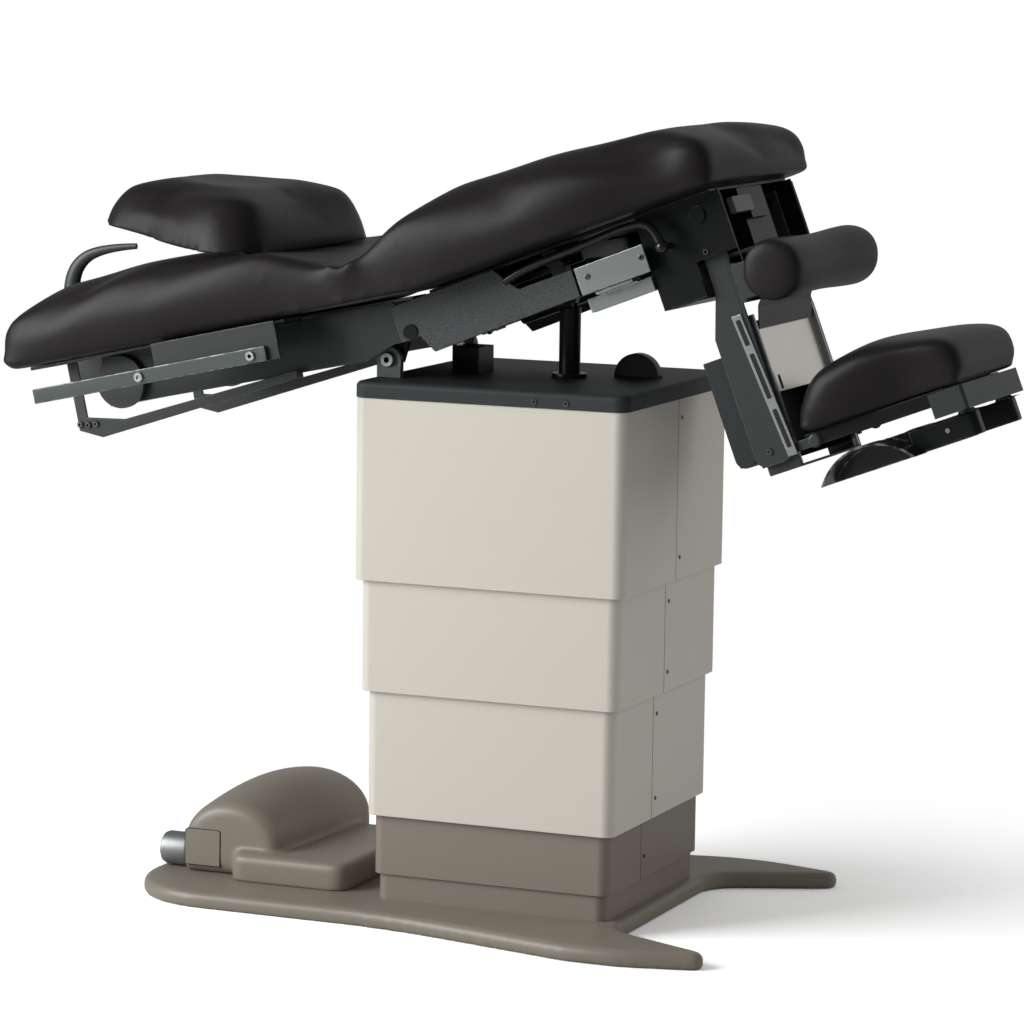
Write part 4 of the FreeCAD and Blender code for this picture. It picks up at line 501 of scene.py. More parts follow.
# Seat frame: a welded black underframe between two textured side panels, with brushed steel plates and
# rails along its front and a housing for the foot section's latch at its end.
SEAT_LEAN = math.radians(21)
SEAT = Matrix.Translation((HINGE_PIN[0], 0, HINGE_PIN[1])) @ Matrix.Rotation(-SEAT_LEAN, 4, "Y")
SEAT_SIDE = 0.211
PLATE_SCREWS = ((0.405, 0.0135), (0.5035, 0.0135))
PLATE_SCREW = (0.0052, 0.0016, 0.0024)
PLATE_BRUSHING = 0.00015
BOX_SIDE, BOX_FRONT = 0.178, 0.652
BOX_RING, BOX_RING_SIDE = (0.6066, 0.0517), 0.1785
BOX_RING_SIZE, BOX_RING_WIRE = 0.0115, 0.0016
BOX_BOLT, BOX_BOLT_HEAD = (0.600, -0.012), (0.0055, 0.003, 0.0025)
LATCH_BLOCK = ((-0.060, -0.148, 0.004), (-0.033, -0.148, 0.004), (-0.033, -0.062, 0.004),
               (-0.060, -0.062, 0.004))
LATCH_BLOCK_HEIGHT = (-0.002, 0.009)
hammered = coated("textured_paint", (0.034, 0.039, 0.041, 1), (0.12, 0.125, 0.125, 1), 0.42,
                  patch=(330, 1.6), grain=420, depth=0.0012, rub_and_highlight=0.4)
brushed = coated("brushed_plate", (0.36, 0.39, 0.38, 1), (0.75, 0.76, 0.74, 1), 0.30, patch=(4, 0.06),
                 metal=0.9)
zinc = coated("zinc_block", (0.16, 0.165, 0.155, 1), (0.3, 0.3, 0.29, 1), 0.45, patch=(20, 0.2), metal=0.4)


def brush_along(finish, angle, depth):
    """Draws fine streaks along a plate's length, as a shallow bump."""
    nodes, links = finish.node_tree.nodes, finish.node_tree.links
    where = nodes.new("ShaderNodeTexCoord")
    turned = nodes.new("ShaderNodeMapping")
    turned.inputs["Rotation"].default_value = (0, angle, 0)
    turned.inputs["Scale"].default_value = (6, 900, 900)
    streaks = nodes.new("ShaderNodeTexNoise")
    streaks.inputs["Scale"].default_value = 1
    streaks.inputs["Detail"].default_value = 4
    links.new(where.outputs["Object"], turned.inputs["Vector"])
    links.new(turned.outputs["Vector"], streaks.inputs["Vector"])
    links.new(streaks.outputs[0], nodes["bump"].inputs["Height"])
    nodes["bump"].inputs["Distance"].default_value = depth


brush_along(brushed, SEAT_LEAN, PLATE_BRUSHING)
for node in ("seat_underframe", "front_box", "seat_pan", "seat_pivot_pins"):
    dress(node, black_paint, "black_paint")
dress("seat_side_panels", hammered, "textured_paint", FILED_EDGE)
for node in ("side_plates", "under_rails"):
    dress(node, brushed, "brushed_plate", FILED_EDGE)
bm = bmesh.new()
for way in (-1, 1):
    for u, n in PLATE_SCREWS:
        add_socket_head(bm, SEAT @ facing(u, way * SEAT_SIDE, n, "Y", way), *PLATE_SCREW)
piece("side_plate_screws", bm, screw_steel, "seat", "steel_fittings")


def add_ring(bm, place, size, wire):
    """A round wire ring lying flat in its place."""
    section = place @ Matrix.Translation((size, 0, 0)) @ UPRIGHT
    verts = bmesh.ops.create_circle(bm, segments=10, radius=wire, matrix=section)["verts"]
    edges = list({e for v in verts for e in v.link_edges})
    bmesh.ops.spin(bm, geom=verts + edges, cent=place.translation, axis=place.to_3x3() @ Vector((0, 0, 1)),
                   angle=math.tau, steps=32, use_merge=True)
    bmesh.ops.recalc_face_normals(bm, faces=bm.faces)


bm = bmesh.new()
for way in (-1, 1):
    add_ring(bm, SEAT @ facing(BOX_RING[0], way * BOX_RING_SIDE, BOX_RING[1], "Y", way), BOX_RING_SIZE,
             BOX_RING_WIRE)
    add_socket_head(bm, SEAT @ facing(BOX_BOLT[0], way * BOX_SIDE, BOX_BOLT[1], "Y", way), *BOX_BOLT_HEAD)
piece("housing_fixings", bm, screw_steel, "seat", "steel_fittings")
bm = bmesh.new()
front = SEAT @ Matrix.Translation((BOX_FRONT, 0, 0)) @ Matrix.Rotation(math.radians(90), 4, "Y")
top = thicken(bm, add_outline(bm, LATCH_BLOCK, segments=4), *LATCH_BLOCK_HEIGHT)
roll(bm, rim_of(bm, top), FILED_EDGE, 2)
lay(bm, front)
piece("latch_block", bm, zinc, "seat", "steel_fittings")
dress("back_cylinder", machined, "machined_steel")
dress("back_ram_rod", machined, "machined_steel")


# Release lever: a round bar in gloss black, bent to a crank on the near side of the seat and pivoted on a
# stud in the front housing. Bent the same way, two thin wires trim the corners of that housing.
LEVER_Y = -0.222
LEVER_ROUND = 0.007
LEVER_BAR = ((0.272, 0.052), (0.300, 0.060), (0.420, 0.063), (0.500, 0.068), (0.545, 0.060),
             (0.548, 0.017))
LEVER_TIP, LEVER_KNUCKLE = 0.00714, 0.011
TRIM_ROUND = 0.0009
TRIM_WIRES = {
    "near_trim_wire": ((0.6535, -0.176, 0.070), (0.6535, -0.176, 0.010), (0.6535, -0.174, -0.055),
                       (0.6540, -0.172, -0.074)),
    "far_trim_wire": ((0.6535, 0.174, 0.072), (0.6535, 0.175, 0.040), (0.6535, 0.175, 0.000),
                      (0.6535, 0.174, -0.040))}
gloss_black = coated("gloss_black", (0.008, 0.010, 0.0095, 1), (0.05, 0.055, 0.055, 1), 0.16,
                     patch=(4, 0.1), grain=300)


def bar_mesh(points, radius, taper=None):
    """A round bar bent smoothly through points, its ends closed."""
    line = bpy.data.curves.new("bar", "CURVE")
    line.dimensions = "3D"
    line.bevel_depth = radius
    line.bevel_resolution = 5
    line.resolution_u = 14
    line.use_fill_caps = True
    spline = line.splines.new("NURBS")
    spline.points.add(len(points) - 1)
    for knot, point, share in zip(spline.points, points, taper or [1] * len(points)):
        knot.co = (*point, 1)
        knot.radius = share
    spline.order_u = 3
    spline.use_endpoint_u = True
    drawn = bpy.data.objects.new("bar", line)
    bpy.context.collection.objects.link(drawn)
    depsgraph = bpy.context.evaluated_depsgraph_get()
    mesh = bpy.data.meshes.new_from_object(drawn.evaluated_get(depsgraph))
    bpy.data.objects.remove(drawn)
    bm = bmesh.new()
    bm.from_mesh(mesh)
    bmesh.ops.remove_doubles(bm, verts=bm.verts, dist=1e-6)
    bmesh.ops.recalc_face_normals(bm, faces=bm.faces)
    return bm


bm = bar_mesh([SEAT @ Vector((u, LEVER_Y, n)) for u, n in LEVER_BAR], LEVER_ROUND)
for (u, n), size in ((LEVER_BAR[0], LEVER_TIP), (LEVER_BAR[-1], LEVER_KNUCKLE)):
    bmesh.ops.create_uvsphere(bm, u_segments=20, v_segments=12, radius=size,
                              matrix=Matrix.Translation(SEAT @ Vector((u, LEVER_Y, n))))
piece("release_lever_bar", bm, gloss_black, "release_lever", "black_paint", "release_lever")
for name, wire in TRIM_WIRES.items():
    bm = bar_mesh([SEAT @ Vector(point) for point in wire], TRIM_ROUND)
    piece(name, bm, screw_steel, "seat", "steel_fittings")


# Upholstery: moulded foam under one seamless skin of soft dark vinyl, drawn down over the seat and back
# pans. One skin covers both, and it gathers in a crease over the back's hinge.
BACK_HINGE, BACK_LEAN = (0.076, 0, 0.028), math.radians(12.5)
BACK = Matrix.Translation(SEAT @ Vector(BACK_HINGE)) @ Matrix.Rotation(-BACK_LEAN, 4, "Y")
VINYL = (0.0160, 0.0138, 0.0135, 1)
GRAIN_CELL, GRAIN_DEPTH = 0.0013, 0.00022
CREASE_U = 0.025
CREASE = SEAT @ Vector((CREASE_U, 0, 0.160))
CREASE_HELD = (0.040, 0.010)
UNDER_HELD = (0.55, 0.85)
CUSHION_HALF = 0.295
SEAT_BOTTOM, BACK_BOTTOM = 0.0833, 0.0603
SEAT_RISE, SEAT_CROWN = (0.44, 0.70, 0.16), (0.06, 0.20, 0.06)
SEAT_DIP, SEAT_DIP_END = (0.14, 0.36, 0.09), (0.68, 0.46, 1)
SEAT_TAPER, SEAT_NOSE = (0.47, 0.70, 0.13), (0.54, 0.66, 0.034)
SCOOP_SIDE = (0.08, 0.2)
SEAT_SCOOP = ((0.540, 0.105), (0.170, 0.085), 0.018)
BACK_RISE, BACK_CROWN = (-0.38, -0.70, 0.24), (-0.12, -0.25, 0.06)
BACK_NOSE = (-0.55, -0.70, 0.034)
HEAD_ROOM = (0.10, 0.17, 0.016)
HEAD_ROOM_ENDS, HEAD_ROOM_SIDE = ((-0.66, -0.56, 1), (-0.12, -0.21, 1)), (0.265, 0.215, 1)
PRESSURE, STIFFNESS, BENDING = 4, 40, 20
BLOW_FRAMES = 20
SETTLE = 20
vinyl = coated("vinyl", VINYL, VINYL, 0.40, patch=(2, 0.2), grain=120, rub_and_highlight=0, shine=0.20)


def grain_leather(finish, cell, depth):
    """Presses the fine pebbled grain of upholstery vinyl over the skin's own bump."""
    nodes, links = finish.node_tree.nodes, finish.node_tree.links
    where = nodes.new("ShaderNodeTexCoord")
    cells = nodes.new("ShaderNodeTexVoronoi")
    cells.feature = "SMOOTH_F1"
    cells.inputs["Scale"].default_value = 1 / cell
    cells.inputs["Randomness"].default_value = 0.9
    pebble = nodes.new("ShaderNodeBump")
    pebble.inputs["Distance"].default_value = depth
    pebble.invert = True
    links.new(where.outputs["Object"], cells.inputs["Vector"])
    links.new(cells.outputs["Distance"], pebble.inputs["Height"])
    links.new(nodes["bump"].outputs["Normal"], pebble.inputs["Normal"])
    links.new(pebble.outputs["Normal"], nodes["Principled BSDF"].inputs["Normal"])


grain_leather(vinyl, GRAIN_CELL, GRAIN_DEPTH)


def stuffed(name, nodes, voxel, proud, rounding, cap, held, form):
    """Fills a cushion: its CAD solid is formed, rounded off as foam is cut, and blown up as cloth."""
    bm = bmesh.new()
    for node in nodes:
        bm.from_mesh(frame["nodes"][node].data)
    bmesh.ops.remove_doubles(bm, verts=bm.verts, dist=1e-5)
    bm = one_skin(bm, voxel, 1)
    bm.normal_update()
    grip = [held(v.co, v.normal) for v in bm.verts]
    for v, out, hold in [(v, v.normal.copy(), hold) for v, hold in zip(bm.verts, grip)]:
        v.co += out * proud * (1 - hold)
    form(bm)
    free = [v for v, hold in zip(bm.verts, grip) if hold < 0.5]
    ease(bm, free, rounding)
    before = [v.co.copy() for v in bm.verts]
    skin = as_object(name, bm.copy())
    group = skin.vertex_groups.new(name="held")
    for index, weight in enumerate(grip):
        group.add([index], weight, "REPLACE")
    cloth = skin.modifiers.new("cloth", "CLOTH")
    cloth.settings.vertex_group_mass = "held"
    cloth.settings.use_pressure = True
    cloth.settings.uniform_pressure_force = PRESSURE
    cloth.settings.tension_stiffness = cloth.settings.compression_stiffness = STIFFNESS
    cloth.settings.bending_stiffness = BENDING
    cloth.settings.effector_weights.gravity = 0
    cloth.settings.quality = 4
    cloth.point_cache.frame_end = BLOW_FRAMES
    for moment in range(1, BLOW_FRAMES + 1):
        bpy.context.scene.frame_set(moment)
    blown = skin.evaluated_get(bpy.context.evaluated_depsgraph_get()).data
    for v, old, new in zip(bm.verts, before, blown.vertices):
        move = new.co - old
        v.co = old + move * min(1, cap / max(move.length, 1e-9))
    bpy.data.objects.remove(skin)
    bpy.context.scene.frame_set(1)
    ease(bm, free, SETTLE)
    return bm


def pad(name, bm, fill, body, *nodes):
    """Makes the stuffed skin a padded piece with one live subdivision."""
    for face in bm.faces:
        face.smooth = True
    made = as_object(name, bm)
    made.data.materials.append(vinyl)
    finer = made.modifiers.new("finer", "SUBSURF")
    finer.levels = finer.render_levels = 1
    if body:
        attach(made, body)
    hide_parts(*nodes)
    return made


def ramp(low, high, value):
    """0 at low, 1 at high, and a smooth run between; low may be the larger."""
    share = max(0, min(1, (value - low) / (high - low)))
    return share * share * (3 - 2 * share)


def part_of(run, value):
    """A share that comes in along a run; run is (none at, all at, share)."""
    return run[2] * ramp(run[0], run[1], value)


def under_held(co, out):
    """The skin is stapled flat under the pan."""
    return ramp(*UNDER_HELD, -out.z)


def pan_held(co, out):
    """The skin is stapled flat under the pans, and drawn in along the crease."""
    return max(under_held(co, out), ramp(*CREASE_HELD, (Vector((co.x, 0, co.z)) - CREASE).length))


def scoop(local, centre, reach, depth):
    """Draws both sides of a pad in round a point of its side, given along and up the pad."""
    away = math.hypot((local.x - centre[0]) / reach[0], (local.z - centre[1]) / reach[1])
    local.y -= math.copysign(depth * ramp(1, 0, away) * ramp(*SCOOP_SIDE, abs(local.y)), local.y)


def form_body(bm):
    """Fuller noses at both ends, a crown, and the seat's sides drawn in at its front."""
    seat_inverse, back_inverse = SEAT.inverted(), BACK.inverted()
    for v in bm.verts:
        on_seat, on_back = seat_inverse @ v.co, back_inverse @ v.co
        across = 1 - (v.co.y / CUSHION_HALF) ** 2
        if on_seat.x > CREASE_U:
            rise = max(0, on_seat.z - SEAT_BOTTOM)
            on_seat.z += rise * (part_of(SEAT_RISE, on_seat.x) + across * part_of(SEAT_CROWN, on_seat.x)
                                 - part_of(SEAT_DIP, on_seat.x) * part_of(SEAT_DIP_END, on_seat.x))
            on_seat.y *= 1 - part_of(SEAT_TAPER, on_seat.x)
            on_seat.x += part_of(SEAT_NOSE, on_seat.x)
            scoop(on_seat, *SEAT_SCOOP)
            v.co = SEAT @ on_seat
        else:
            rise = max(0, on_back.z - BACK_BOTTOM)
            on_back.z += rise * (part_of(BACK_RISE, on_back.x) + across * part_of(BACK_CROWN, on_back.x))
            under_head = math.prod(part_of(end, on_back.x) for end in HEAD_ROOM_ENDS)
            under_head *= part_of(HEAD_ROOM_SIDE, abs(v.co.y))
            on_back.z -= under_head * part_of(HEAD_ROOM, on_back.z)
            on_back.x -= part_of(BACK_NOSE, on_back.x)
            v.co = BACK @ on_back


bm = stuffed("body_cushion", ("seat_cushion", "fold_pad", "back_cushion"), voxel=0.009, proud=-0.006,
             rounding=26, cap=0.022, held=pan_held, form=form_body)
body_cushion = pad("body_cushion", bm, 0.85, None, "seat_cushion", "fold_pad", "back_cushion")
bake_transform(body_cushion)


# Back: a welded black frame on the seat's hinge. Flat accessory rails run along both sides on big
# bracket plates, each held by two button-head screws.
RAIL_FACE = 0.319
RAIL_SCREWS = ((-0.456, 0.0095), (-0.244, 0.0095))
RAIL_SCREW = (0.0085, 0.0042, 0.0036)
RAIL_EDGE = 0.0016
RAIL_BRUSHING = 0.0001
rail_grey = coated("rail_finish", (0.082, 0.096, 0.094, 1), (0.42, 0.43, 0.43, 1), 0.36, patch=(4, 0.1),
                   metal=0.6)
charcoal = coated("charcoal_paint", (0.029, 0.0345, 0.0345, 1), (0.12, 0.13, 0.13, 1), 0.42,
                  patch=(3, 0.12), grain=450, depth=0.0002)
frame_paint = coated("frame_paint", (0.016, 0.021, 0.0215, 1), (0.08, 0.09, 0.09, 1), 0.36,
                     patch=(3, 0.15))
bracket_paint = coated("bracket_paint", (0.017, 0.021, 0.0215, 1), (0.1, 0.11, 0.11, 1), 0.42,
                       patch=(3, 0.12), grain=450, depth=0.0002)
brush_along(rail_grey, BACK_LEAN, RAIL_BRUSHING)
dress("back_frame", frame_paint, "black_paint", FILED_EDGE)
dress("rail_brackets", bracket_paint, "black_paint", FILED_EDGE)
dress("side_rails", rail_grey, "rail_finish", RAIL_EDGE)
bm = bmesh.new()
for way in (-1, 1):
    for u, n in RAIL_SCREWS:
        add_socket_head(bm, BACK @ facing(u, way * RAIL_FACE, n, "Y", way), *RAIL_SCREW)
piece("rail_screw_heads", bm, fittings, "back", "steel_fittings", "rail_screws")


# Paper roll: a roll of examination paper on a spindle with end discs, carried by two cradle plates at the
# head end of the back. The pull handle hooks up over the end beside it.
CRADLE_BOLTS = ((-0.764, 0.799), (-0.749, 0.799), (-0.734, 0.802))
CRADLE_BOLT = (0.0055, 0.004, 0.0025)
CRADLE_FACE = 0.219
HANDLE_SWEEP = ((-0.725, 0.012), (-0.735, 0.075), (-0.733, 0.160), (-0.712, 0.222), (-0.655, 0.244),
                (-0.583, 0.234))
HANDLE_TAPER = (1.3, 1.4, 1.75, 1.4, 0.85, 0.55)
HANDLE_ROUND, HANDLE_WIDE = 0.0095, 0.75
paper = coated("roll_paper", (0.85, 0.85, 0.83, 1), (0.85, 0.85, 0.83, 1), 0.75, patch=(12, 0.06),
               grain=600, depth=0.0002, rub_and_highlight=0)
dress("roll_cradle", charcoal, "black_paint", FILED_EDGE)
dress("roll_spindle", charcoal, "black_paint", FILED_EDGE)
bm = bmesh.new()
for way in (-1, 1):
    for x, z in CRADLE_BOLTS:
        add_socket_head(bm, facing(x, way * CRADLE_FACE, z, "Y", way), *CRADLE_BOLT)
piece("roll_cradle_bolts", bm, screw_steel, "back", "steel_fittings")
dress("paper_roll", paper, "roll_paper")
bm = bar_mesh([BACK @ Vector((u, 0, n)) for u, n in HANDLE_SWEEP], HANDLE_ROUND, HANDLE_TAPER)
bmesh.ops.scale(bm, vec=(1, HANDLE_WIDE, 1), verts=bm.verts)
piece("head_handle_hook", bm, charcoal, "head_handle", "black_paint", "head_handle")


# Headrest: a shaped board on a post in the back frame, with a pillow of the same vinyl on it. The pillow's
# skirt hangs down round the board and gives where it meets the back cushion.
HEAD_HINGE, HEAD_LEAN = (-0.285, 0, 0.198), math.radians(3.6)
HEAD = Matrix.Translation(BACK @ Vector(HEAD_HINGE)) @ Matrix.Rotation(HEAD_LEAN, 4, "Y")
PILLOW_MIDDLE = -0.125
PILLOW_END, PILLOW_END_HALF = -0.284, 0.135
PILLOW_FLARE, PILLOW_FLARE_LONG = 0.120, 0.250
PILLOW_SKIRT, SKIRT_DROP, SKIRT_LEAST = (0.74, 0.96), 0.034, 0.45
SKIRT_FRONT, SKIRT_BACK, SKIRT_RUN = (-0.03, 0.02), (-0.22, -0.27), (-0.28, -0.06)
DISH_MIDDLE, DISH_REACH, DISH_DEEP = -0.09, (0.17, 0.20), 0.006
TOP_RUN, TOP_DROP = (0.03, 0.09), 0.021
PILLOW_LONG, PILLOW_FRONT, PILLOW_BACK = 0.016, (-0.08, 0.02), (-0.15, -0.26)
TOP_IN, FOOT_OUT = 0.13, 0.03
dress("headrest_post", black_paint, "black_paint")
dress("headrest_board", black_paint, "black_paint")


def form_pillow(bm):
    """A dished middle for the head, and a skirt drawn down round the board's edge."""
    inverse = HEAD.inverted()
    for v in bm.verts:
        local = inverse @ v.co
        off = math.hypot((local.x - DISH_MIDDLE) / DISH_REACH[0], local.y / DISH_REACH[1])
        half = PILLOW_END_HALF + PILLOW_FLARE * max(0, min(1, (local.x - PILLOW_END) / PILLOW_FLARE_LONG))
        rim = max(ramp(*PILLOW_SKIRT, abs(local.y) / half), ramp(*SKIRT_FRONT, local.x),
                  ramp(*SKIRT_BACK, local.x))
        rim *= SKIRT_LEAST + (1 - SKIRT_LEAST) * ramp(*SKIRT_RUN, local.x)
        top = ramp(*TOP_RUN, local.z)
        local.z -= top * (DISH_DEEP * ramp(1, 0, off) + TOP_DROP) + (1 - top) * SKIRT_DROP * rim
        local.x += PILLOW_LONG * (ramp(*PILLOW_FRONT, local.x) - ramp(*PILLOW_BACK, local.x))
        local.x += (TOP_IN * top - FOOT_OUT) * (PILLOW_MIDDLE - local.x)
        local.y *= 1 + 2 * FOOT_OUT - TOP_IN * top
        v.co = HEAD @ local


bm = stuffed("headrest_pillow", ("headrest_pad",), voxel=0.006, proud=-0.004, rounding=26, cap=0.012,
             held=under_held, form=form_pillow)
pillow = pad("headrest_pillow", bm, 0.7, "headrest", "headrest_pad")
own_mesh(pillow)


# Foot section: a hanging frame of two plates and a web on the seat's front hinge, with the drive's cover
# between them. A slider on steel guides runs out of it, and a vinyl bolster for the calves stands off it.
ARM_BOLT = (0.588, -0.3485)
ARM_BOLT_HEAD = (0.006, 0.003, 0.0028)
ARM_FACE = 0.162
COVER_EDGE, STEEL_EDGE = 0.002, 0.001
FOOT_CORNER, FOOT_CORNER_BAND = 0.018, 0.002
SLIDE_FRONT, SLIDE_SUNK = 0.621, -0.0005
SLIDE_PLATE = ((0.142, -0.1465, 0.002), (0.261, -0.1465, 0.002), (0.261, 0.1465, 0.002),
               (0.142, 0.1465, 0.002))
SLIDE_SLOTS = (((0.228, -0.128, 0.002), (0.254, -0.128, 0.002), (0.254, -0.118, 0.002),
                (0.228, -0.118, 0.002)),
               ((0.234, -0.104, 0.002), (0.258, -0.104, 0.002), (0.258, -0.094, 0.002),
                (0.234, -0.094, 0.002)))
SLIDE_BRUSHING = 0.0001
GUIDE_TOP, GUIDE_FOOT = (0.6078, -0.1232), (0.6268, -0.3887)
GUIDE_STRIP = ((-0.008, -0.366), (0.009, -0.366), (0.009, -0.124), (-0.008, -0.124))
GUIDE_STRIP_HEIGHT = (ARM_FACE - 0.001, ARM_FACE + 0.0025)
GUIDE_EDGE = 0.0008
GUIDE_SLOTS = ((-0.176, -0.132), (-0.268, -0.190), (-0.352, -0.286))
GUIDE_SLOT_WIDE = (-0.0035, 0.0045)
GUIDE_SLOT_HEIGHT = (ARM_FACE, ARM_FACE + 0.0028)
ROLL_SKIRT = ((0.6245, -0.155, 0), (0.6265, -0.155, 0), (0.6405, -0.113, 0.020), (0.6760, -0.101, 0),
              (0.6755, -0.099, 0), (0.6390, -0.1115, 0.022))
ROLL_SKIRT_HALF = 0.128
ROLL_CENTRE = (0.706, -0.076)
ROLL_HALF = 0.236
ROLL_SHARE, ROLL_OFF = 0.91, -0.008
ROLL_FULL, ROLL_WAIST, ROLL_FLARE_AT = 1.03, 0.045, 0.85
cream = coated("lacquered_plate", (1.0, 0.97, 0.87, 1), (1.0, 0.98, 0.9, 1), 0.24, patch=(9, 0.05),
               metal=0.9)
brush_along(cream, SEAT_LEAN, SLIDE_BRUSHING)


def round_foot(bm):
    """Rounds the lower corners of plates that hang from the seat."""
    inverse = SEAT.inverted()
    lowest = min((inverse @ v.co).z for v in bm.verts)
    low = {v for v in bm.verts if (inverse @ v.co).z < lowest + FOOT_CORNER_BAND}
    across = [e for e in bm.edges if set(e.verts) <= low
              and abs(e.verts[0].co.y - e.verts[1].co.y) > 0.9 * e.calc_length()]
    bmesh.ops.bevel(bm, geom=across, offset=FOOT_CORNER, offset_type="OFFSET", affect="EDGES", segments=6,
                    profile=0.5, material=-1)


def along_guide(corners, size):
    """An outline laid on the guide, which runs at a slant down the arm; a corner is (off the line, n)."""
    slant = (GUIDE_FOOT[0] - GUIDE_TOP[0]) / (GUIDE_FOOT[1] - GUIDE_TOP[1])
    return [(GUIDE_TOP[0] + (n - GUIDE_TOP[1]) * slant + off, n, size) for off, n in corners]


dress("foot_frame", charcoal, "black_paint", FILED_EDGE, first=round_foot)
for node in ("roll_bracket", "foot_slider"):
    dress(node, charcoal, "black_paint", FILED_EDGE)
dress("foot_drive_cover", black_moulding, "black_moulding", COVER_EDGE, first=round_foot)
dress("slide_steel", fittings, "brushed_plate", STEEL_EDGE)
slide_body = body_of_empty[frame["nodes"]["slide_steel"].parent.name]
slide_front = SEAT @ Matrix.Translation((SLIDE_FRONT, 0, 0)) @ Matrix.Rotation(math.radians(90), 4, "Y")
# The plate's cream face, and its two slots as dark patches laid on it: painted shade in the openings.
for name, finish, slot, proud, outline in (
        ("slide_plate_face", cream, "brushed_plate", 0.0008, SLIDE_PLATE),
        ("slide_plate_slot_shade", painted_groove_shade, "black_moulding", 0.0011, SLIDE_SLOTS[0]),
        ("slide_plate_slot_shade_2", painted_groove_shade, "black_moulding", 0.0011, SLIDE_SLOTS[1])):
    bm = bmesh.new()
    thicken(bm, add_outline(bm, outline, segments=4), SLIDE_SUNK, proud)
    lay(bm, slide_front)
    piece(name, bm, finish, slide_body, slot)
for side, way in (("near", -1), ("far", 1)):
    on_arm = SEAT @ Matrix.Diagonal((1, -way, 1, 1)) @ UPRIGHT
    bm = bmesh.new()
    top = thicken(bm, add_outline(bm, along_guide(GUIDE_STRIP, 0.001), segments=3), *GUIDE_STRIP_HEIGHT)
    roll(bm, rim_of(bm, top), GUIDE_EDGE, 2)
    lay(bm, on_arm)
    piece(f"guide_strip_{side}", bm, fittings, "foot_section", "brushed_plate")
    # The guide's slots are dark patches laid on the strip: painted shade in the openings.
    bm = bmesh.new()
    left, right = GUIDE_SLOT_WIDE
    for low, high in GUIDE_SLOTS:
        opening = along_guide(((left, low), (right, low), (right, high), (left, high)), 0.0025)
        thicken(bm, add_outline(bm, opening, segments=4), *GUIDE_SLOT_HEIGHT)
    lay(bm, on_arm)
    piece(f"guide_slot_shade_{side}", bm, painted_groove_shade, "foot_section", "black_moulding")
bm = bmesh.new()
for way in (-1, 1):
    add_socket_head(bm, SEAT @ facing(ARM_BOLT[0], way * ARM_FACE, ARM_BOLT[1], "Y", way), *ARM_BOLT_HEAD)
piece("foot_arm_bolts", bm, screw_steel, "foot_section", "steel_fittings")
bm = bmesh.new()
thicken(bm, add_outline(bm, ROLL_SKIRT, segments=6), -ROLL_SKIRT_HALF, ROLL_SKIRT_HALF)
lay(bm, SEAT @ UPRIGHT)
piece("roll_bracket_skirt", bm, black_paint, "foot_section", "black_paint")


def free_all_round(co, out):
    """The bolster's skin is held nowhere: its foam core carries it."""
    return 0


def form_bolster(bm):
    """A waist in the middle and fuller ends."""
    inverse = SEAT.inverted()
    for v in bm.verts:
        local = inverse @ v.co
        outward = min(1, abs(local.y) / (ROLL_FLARE_AT * ROLL_HALF))
        flare = ROLL_FULL - ROLL_WAIST * math.cos(math.pi * outward)
        local.x = ROLL_CENTRE[0] + (local.x - ROLL_CENTRE[0]) * flare
        local.z = ROLL_CENTRE[1] + (local.z - ROLL_CENTRE[1]) * flare
        local.y = local.y * ROLL_SHARE + ROLL_OFF
        v.co = SEAT @ local


bm = stuffed("calf_bolster", ("calf_roll",), voxel=0.005, proud=-0.003, rounding=44, cap=0.010,
             held=free_all_round, form=form_bolster)
pad("calf_bolster", bm, 0.8, "foot_section", "calf_roll")


# Knee rest: a pressed tray on the slider with a thick vinyl pad, and a stirrup folded under each side of
# it, a heel cup on a flat arm.
TRAY_END = ((0.868, -0.1555, 0), (0.927, -0.1555, 0.006), (0.927, 0.1555, 0.006), (0.868, 0.1555, 0),
            (0.868, 0.1530, 0), (0.9245, 0.1530, 0.004), (0.9245, -0.1530, 0.004), (0.868, -0.1530, 0))
TRAY_END_HEIGHT = (-0.384, -0.344)
PADDLE = ((0.800, 0.083, 0.010), (0.922, 0.083, 0.012), (0.922, 0.121, 0.012), (0.800, 0.121, 0.010))
PADDLE_HEIGHT = (-0.428, -0.389)
PADDLE_EDGE = 0.003
PADDLE_RIVET, RIVET_HEAD = (0.871, 0.122, -0.407), (0.004, 0.0015, 0.0012)
STIRRUP_EDGE = 0.0018
KNEE_BOTTOM, KNEE_HALF, KNEE_CROWN = -0.3407, 0.18, 0.12
KNEE_NOSE, KNEE_HEEL = (0.86, 0.92, 0.016), (0.74, 0.645, 0.022)
KNEE_SCOOP = ((0.840, -0.315), (0.130, 0.070), 0.030)
